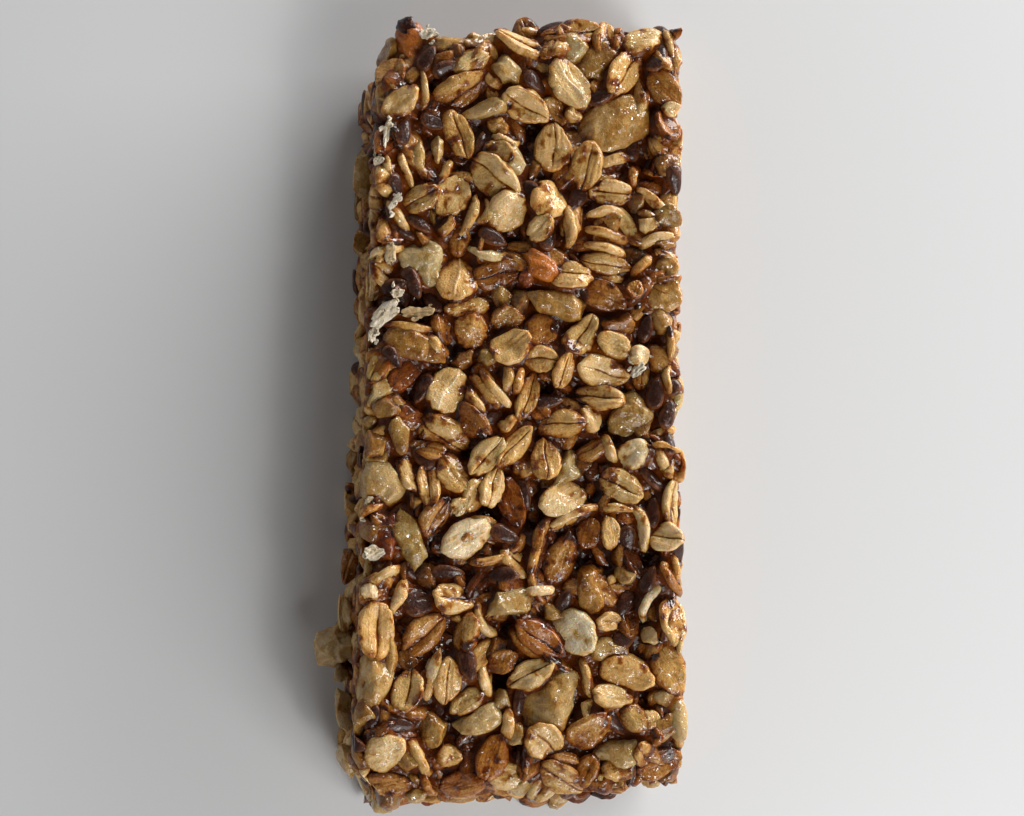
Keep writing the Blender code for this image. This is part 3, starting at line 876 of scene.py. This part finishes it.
def fill_gaps(bar):
    """Puts small things where the top is still lower than the lower limit."""
    chance = bar.chance
    cross = np.array([(0, 0), (1, 0), (-1, 0), (0, 1), (0, -1)]) * 1.1
    for x, y in strewn(chance, *GAP_BOX, GAP_PITCH):
        far, near = broken_ends(x, TOP)
        if not near + 1.0 < y < far - 1.0 or crown(x, y) < GAP_LIMITS[1]:
            continue
        if bar.relief.height[bar.relief.cells(np.array([x, y]) + cross)].mean() > GAP_LIMITS[0]:
            continue
        turn = chance.uniform(0, math.tau)
        kind, shape, values = strewn_thing(chance, chance.random(), "oats_under", GAP_MIX)
        bar.settle(kind, shape, turn, (x, y), *GAP_LIMITS, **values)


def lay_filler(bar, kind, turn, tilt, middle, allowed, browner=0.0, face=None):
    """One strewn thing in a side, an end or the underside: an oat of this kind, a seed or a nut bit.

    With a face, as (axis, side, how far out it may reach), the thing is pushed up to it.
    """
    mix = FACE_MIX._replace(browner=browner)
    kind, shape, values = strewn_thing(bar.chance, bar.chance.random(), kind, mix)
    if face:
        axis, side, limit = face
        middle = np.array(middle)
        middle[axis] = limit - side * (turned(shape[0], turn, *tilt, (0, 0, 0))[:, axis] * side).max()
    bar.add(kind, shape, turn, *tilt, middle, allowed, **values)


def lay_sides(bar):
    """What shows in the two long sides: cut flush at the top, and rougher and rougher towards the foot."""
    chance = bar.chance
    for side, kind in ((-1, "oats_left"), (1, "oats_right")):
        for y, z in strewn(chance, (NEAR_END - 1, FACE_FOOT), (FAR_END, FACE_HEAD), FACE_PITCH):
            x = cut_planes(y, z)[(side + 1) // 2]
            far, near = broken_ends(side * 20.0, z)
            if not near < y < far - 1.0 or z > crown(side * 21.0, y) - 1.6:
                continue
            foot = 1.0 - z / TOP
            turn = chance.uniform(0, math.tau)
            tilt = chance.normal(0, 0.6), chance.normal(0, 0.5)
            limit = x + side * chance.uniform(-0.6, 1.4 - foot)
            allowed = 0.15 + chance.uniform(0.6, 2.0) * foot
            lay_filler(bar, kind, turn, tilt, (x, y, z), allowed, face=(0, side, limit))


def lay_ends(bar):
    """What shows in the two broken ends, at all angles."""
    chance = bar.chance
    # The near end's oats are browner than the far end's: painted shade on the end nearest the window.
    for side, kind, browner in ((-1, "oats_near_end", 0.7), (1, "oats_far_end", 0.2)):
        for x, z in strewn(chance, (ENDS_LEFT, FACE_FOOT), (ENDS_RIGHT, FACE_HEAD), FACE_PITCH):
            far, near = broken_ends(x, z)
            if z > crown(x, far if side > 0 else near) - 0.6:
                continue
            limit = near - chance.uniform(-0.7, 1.2) if side < 0 else far + chance.uniform(-0.4, 2.0)
            turn = chance.uniform(0, math.tau)
            tilt = chance.normal(0, 0.5), chance.normal(0, 0.5)
            lay_filler(bar, kind, turn, tilt, (x, limit, z), 0.3, browner, (1, side, limit))


def lay_underside(bar):
    """What was pressed flat against the tray."""
    chance = bar.chance
    low, high = (UNDERSIDE_LEFT, NEAR_END - 1.5), (UNDERSIDE_RIGHT, FAR_END)
    for x, y in strewn(chance, low, high, UNDERSIDE_PITCH):
        far, near = broken_ends(x, 0.0)
        if near < y < far:
            tilt = chance.normal(0, 0.12), chance.normal(0, 0.12)
            turn, z = chance.uniform(0, math.tau), chance.uniform(0.4, 0.9)
            lay_filler(bar, "oats_below", turn, tilt, (x, y, z), 0.3, 0.3)


# Nut pieces and syrup -------------------------------------------------------------------------------------


def points_of(mesh):
    """The mesh's points in millimetres."""
    points = np.empty(len(mesh.vertices) * 3, np.float32)
    mesh.vertices.foreach_get("co", points)
    return points.reshape(-1, 3).astype(float) / MM


def move_points(mesh, points):
    """Moves the mesh's points to these places, in millimetres."""
    mesh.vertices.foreach_set("co", (points * MM).astype(np.float32).ravel())
    mesh.update()


def applied(made):
    """Turns the object's modifiers into mesh."""
    graph = bpy.context.evaluated_depsgraph_get()
    mesh = bpy.data.meshes.new_from_object(made.evaluated_get(graph))
    made.modifiers.clear()
    old = made.data
    made.data = mesh
    bpy.data.meshes.remove(old)
    return mesh


def finer_copy(node):
    """A copy of a nut solid with its points welded and its faces divided twice."""
    mesh = node.data.copy()
    shape = bmesh.new()
    shape.from_mesh(mesh)
    bmesh.ops.remove_doubles(shape, verts=shape.verts, dist=0.01 * MM)
    shape.to_mesh(mesh)
    shape.free()
    nut = linked(node.name + "_cut", mesh)
    finer = nut.modifiers.new("finer", "SUBSURF")
    finer.levels = finer.render_levels = 2
    applied(nut)
    return nut


def refined_nut(node, chance, material, look):
    """A nut solid with broken faces and the grain of nut."""
    nut = finer_copy(node)
    points = points_of(nut.data)
    middle = points.mean(axis=0)
    is_high = middle[2] > HIGH_NUT
    points = (points - middle) * (HIGH_GROWTH if is_high else LOW_GROWTH)
    points = chopped(points, chance, 10, 0.72, 0.92)
    if node.name in CRUMBLY:
        points[:, 0] = np.maximum(points[:, 0], -CRUMBLY_REACH)
    rough = CRUMBLY.get(node.name, 1.0)
    move = np.zeros(len(points))
    for size, amount in ((2.6, 0.09), (1.2, 0.055 * rough), (0.6, 0.030 * rough)):
        for _ in range(8):
            move += amount * np.sin(points @ chance.normal(0, 1.5 / size, 3) + chance.uniform(0, 6))
    away = points / np.linalg.norm(points, axis=1, keepdims=True)
    points = middle + points + away * move[:, None]
    if is_high:
        points, _ = trimmed(points, 0.1)
    move_points(nut.data, points)
    dress(nut.data, material, shade=look[0], tint=look[1], tag=chance.uniform(0, 100), soak=0.0)
    return nut


def slim_copy(nut):
    """A smaller copy of the nut, for the syrup to cling to."""
    copy = linked(nut.name + "_slim", nut.data.copy())
    points = points_of(copy.data)
    middle = points.mean(axis=0)
    move_points(copy.data, middle + (points - middle) * SLIMMER_NUT)
    return copy


def joined(name, objects):
    """The first object with the others joined to it."""
    with bpy.context.temp_override(active_object=objects[0], selected_editable_objects=objects):
        bpy.ops.object.join()
    objects[0].name = name
    return objects[0]


def syrup_block(material):
    """The plain block that the syrup fills, a little inside the faces.

    It is a pillow whose border is half way up the walls, with the next points stretched out to the edges.
    """
    foot, border, head = 0.8, 7.4, 14.0
    stretch_x, stretch_y = 1.2, 1.17
    inset_x, inset_y = 1.3, 2.0
    a, b, side, faces = pillow(12, 20)
    on_border = (np.abs(a) == 1.0) | (np.abs(b) == 1.0)
    a, b = np.clip(stretch_x * a, -1, 1), np.clip(stretch_y * b, -1, 1)
    z = np.where(on_border, border, np.where(side > 0, head, foot))
    left, right = cut_planes(b * 54.0, z)
    x = (left + right) / 2 + a * ((right - left) / 2 - inset_x)
    far, near = broken_ends(x, z)
    y = (far + near) / 2 + b * ((far - near) / 2 - inset_y)
    lowered = [min(0.0, crown(*place) - TOP) for place in zip(x, y)]
    z = np.where(z > border, z + lowered, z)
    heap = Heap()
    heap.add(np.stack([x, y, z], axis=1), faces)
    return heap.build("syrup_block", material)


def make_syrup(bar, nuts, material):
    """The syrup: the block and slimmer copies of all that lies in it, melted into one skin."""
    inner = bar.core.build("syrup", material)
    slim = [slim_copy(nut) for nut in nuts]
    syrup = joined("syrup", [inner, syrup_block(material), *slim])
    for cell, spread in ((0.52, 0.34), (0.68, -0.5)):
        melt = syrup.modifiers.new("melt", "REMESH")
        melt.mode = "VOXEL"
        melt.voxel_size = cell * MM
        swell = syrup.modifiers.new("swell", "DISPLACE")
        swell.strength = spread * MM
        swell.mid_level = 0.0
    soften = syrup.modifiers.new("soften", "SMOOTH")
    soften.factor = 0.5
    soften.iterations = 3
    mesh = applied(syrup)
    keep_largest(mesh)
    points = points_of(mesh)
    points[:, 2] = np.maximum(points[:, 2], 0.0)
    move_points(mesh, points)
    dress(mesh, material, soak=np.clip(depth(points) / 3.5, 0, 1))
    return syrup


def keep_largest(mesh):
    """Deletes all but the largest connected part."""
    shape = bmesh.new()
    shape.from_mesh(mesh)
    left, islands = set(shape.verts), []
    while left:
        edge_of_search, island = [left.pop()], set()
        while edge_of_search:
            point = edge_of_search.pop()
            island.add(point)
            for edge in point.link_edges:
                other = edge.other_vert(point)
                if other in left:
                    left.discard(other)
                    edge_of_search.append(other)
        islands.append(island)
    islands.sort(key=len)
    for island in islands[:-1]:
        bmesh.ops.delete(shape, geom=list(island), context="VERTS")
    shape.to_mesh(mesh)
    shape.free()


# Materials ------------------------------------------------------------------------------------------------


class Nodes:
    """The node tree of a material or a world, with short calls for the nodes used here."""

    def __init__(self, owner, last="Principled BSDF"):
        owner.use_nodes = True
        self.owner = owner
        self.tree = owner.node_tree
        self.last = self.tree.nodes[last]

    def feed(self, socket, given):
        """Links an output to the socket, or sets a constant on it."""
        if isinstance(given, bpy.types.NodeSocket):
            self.tree.links.new(given, socket)
        else:
            socket.default_value = given

    def node(self, kind, given=(), **settings):
        """A new node, with what is given to its first inputs, or to its inputs by name."""
        made = self.tree.nodes.new(kind)
        for name, value in settings.items():
            setattr(made, name, value)
        for key, value in given.items() if isinstance(given, dict) else enumerate(given):
            self.feed(made.inputs[key], value)
        return made

    def value(self, name):
        return self.node("ShaderNodeAttribute", attribute_name=name).outputs["Fac"]

    def object_place(self):
        return self.node("ShaderNodeTexCoord").outputs["Object"]

    def math(self, operation, *given, clamp=False):
        return self.node("ShaderNodeMath", given, operation=operation, use_clamp=clamp).outputs["Value"]

    def vector_math(self, operation, *given):
        return self.node("ShaderNodeVectorMath", given, operation=operation).outputs["Vector"]

    def vector(self, *given):
        return self.node("ShaderNodeCombineXYZ", given).outputs["Vector"]

    def weighted(self, start, *terms):
        """start plus each (value, weight)."""
        total = start
        for value, weight in terms:
            total = self.math("ADD", total, self.math("MULTIPLY", value, weight))
        return total

    def above(self, value, threshold, steepness):
        """0 where the value is under the threshold, rising to 1 above it."""
        return self.math("MULTIPLY", self.math("SUBTRACT", value, threshold), steepness, clamp=True)

    def noise(self, vector, size, detail=3.0, roughness=0.55):
        """Noise about zero with features of about this size in metres, or in the vector's own unit."""
        given = {"Vector": vector, "Scale": 1.0 / size, "Detail": detail, "Roughness": roughness}
        return self.math("SUBTRACT", self.node("ShaderNodeTexNoise", given).outputs["Fac"], 0.5)

    def place(self):
        """The point on the object, shifted by the tag so that no two flakes look the same."""
        return self.vector_math("ADD", self.object_place(), self.vector(self.value("tag")))

    def ramp(self, fac, stops):
        made = self.node("ShaderNodeValToRGB", [fac])
        elements = made.color_ramp.elements
        while len(elements) < len(stops):
            elements.new(0.5)
        for element, (place, colour) in zip(elements, stops):
            element.position = place
            element.color = (*colour, 1.0)
        return made.outputs["Color"]

    def tinted(self, colour):
        """The colour, warmer or more olive from piece to piece."""
        factor = self.vector_math("MULTIPLY_ADD", self.value("tint"), (0.04, 0.0, -0.05), (1.0, 0.99, 0.96))
        return self.vector_math("MULTIPLY", colour, factor)

    def bump(self, height, distance):
        given = {"Strength": 1.0, "Distance": distance, "Height": height}
        return self.node("ShaderNodeBump", given).outputs["Normal"]

    def thick_glaze(self, place):
        """1 in the patches where the glaze is thick, and 0 round them."""
        return self.above(self.noise(place, 0.9 * MM, detail=1.0), 0.02, 7.0)

    def glaze(self, place, thick, sparkle=1.0):
        """The normal of the glaze: gently uneven, with tiny facets that catch the light where it is thick."""
        swell = self.bump(self.noise(place, 1.5 * MM, detail=1.0), 0.3 * MM)
        cells = self.node("ShaderNodeTexVoronoi", {"Vector": place, "Scale": 1.0 / (0.24 * MM)})
        tilt = self.vector_math("SUBTRACT", cells.outputs["Color"], (0.5, 0.5, 0.5))
        facets = self.vector_math("MULTIPLY", tilt, self.math("MULTIPLY", thick, sparkle))
        return self.vector_math("NORMALIZE", self.vector_math("ADD", swell, facets))

    def finish(self, **inputs):
        """Feeds the last node's inputs, whose names have _ for a space, and returns the owner."""
        for name, given in inputs.items():
            self.feed(self.last.inputs[name.replace("_", " ")], given)
        return self.owner


def material_nodes(name):
    return Nodes(bpy.data.materials.new(name))


# Colours by toast, from dusted white to burnt.
TOAST_COLOURS = [
    (-0.8, (0.83, 0.675, 0.455)),
    (0.0, (0.72, 0.490, 0.230)),
    (0.8, (0.56, 0.325, 0.098)),
    (1.5, (0.33, 0.120, 0.017)),
    (2.3, (0.15, 0.029, 0.002)),
    (3.4, (0.030, 0.004, 0.001)),
]
GLAZE_IOR = 1.75  # more than a real syrup's 1.5, for brighter highlights


def oat_material():
    nodes = material_nodes("glazed_oat")
    place = nodes.place()
    across = nodes.math("MULTIPLY", nodes.value("across"), 7.0)
    grain = nodes.vector(nodes.value("along"), across, nodes.value("tag"))
    streaks = nodes.noise(grain, 1.4, detail=2.0)
    mottle = nodes.noise(place, 1.2 * MM, detail=5.0, roughness=0.7)
    patches = nodes.noise(place, 2.6 * MM, detail=2.0)
    fine = nodes.noise(place, 0.28 * MM, detail=2.0)
    thick = nodes.thick_glaze(place)
    stain = nodes.above(patches, 0.08, 9.0)
    rim = nodes.math("MULTIPLY", nodes.value("rim"), nodes.weighted(0.8, (patches, 6.0)), clamp=True)
    # The crease is darker: painted shade in the groove.
    groove = nodes.math("MULTIPLY", nodes.value("groove"), nodes.weighted(1.0, (mottle, 2.5)))
    toast = nodes.weighted(
        nodes.value("toast"),
        (rim, 1.2),
        (groove, 1.3),
        (nodes.value("soak"), 1.2),
        # hollows of the top layer: browner as pooled syrup, and darker as painted shade
        (nodes.value("sunk"), 1.4),
        # where pieces touch: browner as glue, and darker as painted shade
        (nodes.value("glued"), 1.7),
        (nodes.value("cut"), -0.8),
        (stain, 1.6),
        (nodes.above(fine, 0.12, 7.0), 0.6),
        (fine, 0.9),
        (streaks, 0.6),
        (mottle, 1.6),
        (1.0, -0.36),
    )
    low, high = TOAST_COLOURS[0][0], TOAST_COLOURS[-1][0]
    share = nodes.math("DIVIDE", nodes.math("SUBTRACT", toast, low), high - low)
    colour = nodes.ramp(share, [((t - low) / (high - low), c) for t, c in TOAST_COLOURS])
    relief = nodes.weighted(0.0, (streaks, 0.6), (mottle, 0.7), (fine, 0.7))
    return nodes.finish(
        Base_Color=nodes.tinted(colour),
        Roughness=nodes.weighted(0.45, (mottle, 0.5), (nodes.value("cut"), 0.2)),
        Normal=nodes.bump(relief, 0.3 * MM),
        Specular_IOR_Level=0.12,
        Specular_Tint=(1.0, 0.7, 0.4, 1.0),
        Subsurface_Weight=0.45,
        Subsurface_Radius=(1.0, 0.45, 0.15),
        Subsurface_Scale=0.9 * MM,
        Coat_Weight=nodes.weighted(0.3, (thick, 0.6), (stain, 0.3)),
        Coat_IOR=GLAZE_IOR,
        Coat_Roughness=0.07,
        Coat_Normal=nodes.glaze(place, thick, 0.85),
    )


def seed_material():
    nodes = material_nodes("flax_seed")
    place = nodes.place()
    mottle = nodes.noise(place, 1.2 * MM, detail=3.0)
    shade = nodes.weighted(0.4, (mottle, 1.3), (nodes.value("rim"), 0.55))
    stops = [(0.0, (0.016, 0.003, 0.001)), (0.5, (0.048, 0.011, 0.003)), (1.0, (0.20, 0.066, 0.022))]
    fine = nodes.noise(place, 0.3 * MM)
    relief = nodes.weighted(0.0, (fine, 0.7), (mottle, 0.8))
    return nodes.finish(
        Base_Color=nodes.ramp(shade, stops),
        Roughness=0.5,
        Specular_IOR_Level=0.15,
        Normal=nodes.bump(relief, 0.25 * MM),
        Coat_Weight=0.45,
        Coat_Roughness=0.10,
        Coat_Normal=nodes.glaze(place, nodes.thick_glaze(place), 0.6),
    )


def nut_material():
    nodes = material_nodes("glazed_nut")
    place = nodes.place()
    cloud = nodes.noise(place, 2.6 * MM, detail=3.0)
    mottle = nodes.noise(place, 0.8 * MM, detail=4.0, roughness=0.7)
    grit = nodes.noise(place, 0.24 * MM, detail=2.0)
    thick = nodes.thick_glaze(place)
    shade = nodes.weighted(
        nodes.value("shade"),
        (cloud, 3.5),
        (mottle, 2.4),
        (grit, 1.0),
        (nodes.value("soak"), 1.2),
        # hollows of the top layer: browner as pooled syrup, and darker as painted shade
        (nodes.value("sunk"), 1.6),
        # where pieces touch: browner as glue, and darker as painted shade
        (nodes.value("glued"), 1.9),
        (1.0, -0.05),
    )
    stops = [
        (0.0, (0.52, 0.365, 0.170)),
        (0.31, (0.37, 0.198, 0.042)),
        (0.62, (0.20, 0.064, 0.009)),
        (1.0, (0.045, 0.009, 0.001)),
    ]
    relief = nodes.weighted(0.0, (cloud, 0.8), (mottle, 1.2), (grit, 0.5))
    return nodes.finish(
        Base_Color=nodes.tinted(nodes.ramp(nodes.math("DIVIDE", shade, 3.2), stops)),
        Roughness=nodes.weighted(0.36, (mottle, 0.4)),
        Normal=nodes.bump(relief, 0.3 * MM),
        Specular_IOR_Level=0.12,
        Specular_Tint=(1.0, 0.8, 0.5, 1.0),
        Subsurface_Weight=0.7,
        Subsurface_Radius=(1.0, 0.60, 0.22),
        Subsurface_Scale=1.1 * MM,
        Coat_Weight=nodes.weighted(0.4, (thick, 0.6)),
        Coat_IOR=GLAZE_IOR,
        Coat_Roughness=0.07,
        Coat_Normal=nodes.glaze(place, thick, 1.1),
    )


def fruit_material():
    nodes = material_nodes("dried_fruit")
    place = nodes.place()
    cloud = nodes.noise(place, 1.6 * MM, detail=4.0, roughness=0.65)
    fine = nodes.noise(place, 0.3 * MM, detail=2.0)
    # Where pieces touch, the fruit is darker: glue, and painted shade.
    shade = nodes.weighted(nodes.value("shade"), (cloud, 1.2), (nodes.value("glued"), 0.5), (fine, 0.3))
    stops = [(0.0, (0.46, 0.135, 0.016)), (0.45, (0.15, 0.024, 0.003)), (1.0, (0.010, 0.002, 0.001))]
    return nodes.finish(
        Base_Color=nodes.ramp(shade, stops),
        Roughness=0.4,
        Specular_IOR_Level=0.12,
        Normal=nodes.bump(nodes.weighted(0.0, (cloud, 1.0), (fine, 0.3)), 0.5 * MM),
        Coat_Weight=0.45,
        Coat_IOR=GLAZE_IOR,
        Coat_Roughness=0.12,
        Coat_Normal=nodes.glaze(place, nodes.thick_glaze(place)),
    )


def crumb_material():
    nodes = material_nodes("pale_crumb")
    place = nodes.place()
    mottle = nodes.noise(place, 0.7 * MM, detail=4.0, roughness=0.7)
    # Where pieces touch, the crumbs are browner: glue, and painted shade.
    shade = nodes.weighted(nodes.value("shade"), (mottle, 1.0), (nodes.value("glued"), 0.3))
    stops = [(0.0, (0.78, 0.70, 0.56)), (0.5, (0.66, 0.50, 0.29)), (1.0, (0.40, 0.22, 0.07))]
    return nodes.finish(
        Base_Color=nodes.ramp(shade, stops),
        Roughness=0.8,
        Specular_IOR_Level=0.2,
        Normal=nodes.bump(mottle, 0.5 * MM),
    )


def syrup_material():
    nodes = material_nodes("baked_syrup")
    place = nodes.object_place()
    cloud = nodes.noise(place, 5.0 * MM, detail=2.0)
    mottle = nodes.noise(place, 1.1 * MM, detail=4.0)
    shade = nodes.weighted(0.2, (nodes.value("soak"), 0.9), (cloud, 0.9), (mottle, 0.7))
    stops = [(0.0, (0.30, 0.085, 0.007)), (0.4, (0.12, 0.022, 0.001)), (1.0, (0.016, 0.002, 0.0005))]
    return nodes.finish(
        Base_Color=nodes.ramp(shade, stops),
        Roughness=0.35,
        Normal=nodes.bump(mottle, 0.5 * MM),
        Specular_IOR_Level=0.08,
        Specular_Tint=(1.0, 0.55, 0.22, 1.0),
        Coat_Weight=0.2,
        Coat_IOR=GLAZE_IOR,
        Coat_Roughness=0.08,
        Coat_Normal=nodes.glaze(place, nodes.thick_glaze(place)),
    )


# The studio -----------------------------------------------------------------------------------------------

FLOOR_COLOUR = (0.755, 0.76, 0.77)
CLOUDED = 0.97  # how dark the floor's clouds are against its colour
WINDOW_COLOUR = (1.0, 0.995, 0.98)
# Lights as (name, place, size, watts, colour), in metres.
LIGHTS = [
    ("window", (0.268, -0.378, 0.366), (0.42, 0.42), 2.3, WINDOW_COLOUR),
    ("lamp", (0.250, -0.390, 0.400), (0.09, 0.09), 0.5, (1.0, 0.99, 0.96)),
    ("low_window", (0.42, 0.40, 0.12), (0.7, 0.20), 6.3, WINDOW_COLOUR),
]
WALLS, CEILING, ROOM_LIGHT = 1.0, 0.01, 0.62  # how bright the room is, level and overhead, and its strength
CAMERA_AIM = (-2.0, 0.2, TOP)
CAMERA_DISTANCE = 268.0
CAMERA_LEAN = (11.0, 5.0, 0.6)  # degrees to the left of straight down, towards the near end, and of roll
LENS = 66.8


def make_floor():
    nodes = material_nodes("pale_floor")
    cloud = nodes.noise(nodes.object_place(), 0.3, detail=1.0)
    clouded = tuple(CLOUDED * c for c in FLOOR_COLOUR)
    colour = nodes.ramp(nodes.weighted(0.5, (cloud, 0.5)), [(0.0, clouded), (1.0, FLOOR_COLOUR)])
    bpy.ops.mesh.primitive_plane_add(size=4.0)
    floor = bpy.context.object
    floor.name = "floor"
    floor.data.materials.append(nodes.finish(Base_Color=colour, Roughness=0.35))


def make_lights():
    for name, place, size, power, colour in LIGHTS:
        light = bpy.data.lights.new(name, "AREA")
        light.shape = "RECTANGLE"
        light.size, light.size_y = size
        light.energy = power
        light.color = colour
        made = linked(name, light)
        made.location = place
        made.rotation_euler = (-Vector(place)).to_track_quat("-Z", "Y").to_euler()
    bpy.context.scene.view_settings.view_transform = "Standard"


def make_room():
    """The light from the walls round the table: bright near the horizon and dark overhead."""
    world = bpy.data.worlds.new("studio")
    bpy.context.scene.world = world
    nodes = Nodes(world, "Background")
    towards = nodes.node("ShaderNodeTexCoord").outputs["Generated"]
    height = nodes.node("ShaderNodeSeparateXYZ", [towards]).outputs["Z"]
    nodes.finish(Color=nodes.ramp(height, [(0.0, (WALLS,) * 3), (0.9, (CEILING,) * 3)]), Strength=ROOM_LIGHT)


def make_camera():
    to_left, to_near, roll = (math.radians(angle) for angle in CAMERA_LEAN)
    back = Vector((-math.tan(to_left), -math.tan(to_near), 1.0)).normalized()
    right = (-back).cross(Vector((0, 1, 0))).normalized()
    pose = Matrix((right, right.cross(-back), back)).transposed().to_4x4() @ Matrix.Rotation(roll, 4, "Z")
    pose.translation = (Vector(CAMERA_AIM) + back * CAMERA_DISTANCE) * MM
    lens = bpy.data.cameras.new("camera")
    lens.lens = LENS
    lens.sensor_width = 36.0
    lens.clip_start = 0.01
    camera = linked("camera", lens)
    camera.matrix_world = pose
    bpy.context.scene.camera = camera


# Putting it together --------------------------------------------------------------------------------------


def main():
    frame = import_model()
    oat, nut = oat_material(), nut_material()
    materials = {
        "flax_seeds": seed_material(),
        "nut_bits": nut,
        "dried_fruit": fruit_material(),
        "pale_crumbs": crumb_material(),
    }

    chance = np.random.default_rng(SEED)
    nuts = [refined_nut(frame["nodes"][name], chance, nut, look) for name, look in NUT_LOOKS.items()]
    bar = Bar()
    for lay in (lay_underside, lay_sides, lay_ends, lay_beds, lay_top, fill_gaps):
        # Each layer has draws of its own, so a change in one leaves the others as they are.
        bar.chance = np.random.default_rng(SEED)
        if lay is lay_top:
            for piece in nuts:
                bar.relief.lay(points_of(piece.data))
        lay(bar)

    core = make_syrup(bar, nuts, syrup_material())
    heaps = list(bar.heaps.values())
    nut_points = [points_of(piece.data) for piece in nuts]
    # How crowded each point is, which the materials paint as glue and as shade between pieces.
    *glued, nuts_glued = crowding([heap.points for heap in heaps] + [nut_points])
    for heap, values in zip(heaps, glued):
        heap.values["glued"] = values
        heap.values["sunk"] = [bar.relief.sunk(points) for points in heap.points]
    for piece, points, values in zip(nuts, nut_points, nuts_glued):
        values_on(piece.data, glued=values, sunk=bar.relief.sunk(points))
    chopped = joined("chopped_nuts", nuts)
    pieces = [heap.build(kind, materials.get(kind, oat)) for kind, heap in bar.heaps.items()]
    for piece in [core, chopped, *pieces]:
        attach(piece, "root")
        "nut" if "nut" in piece.name else "oats_in_syrup"
    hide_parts("oat_slab")
    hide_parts(*NUT_LOOKS)

    make_floor()
    make_room()
    make_lights()
    make_camera()


main()
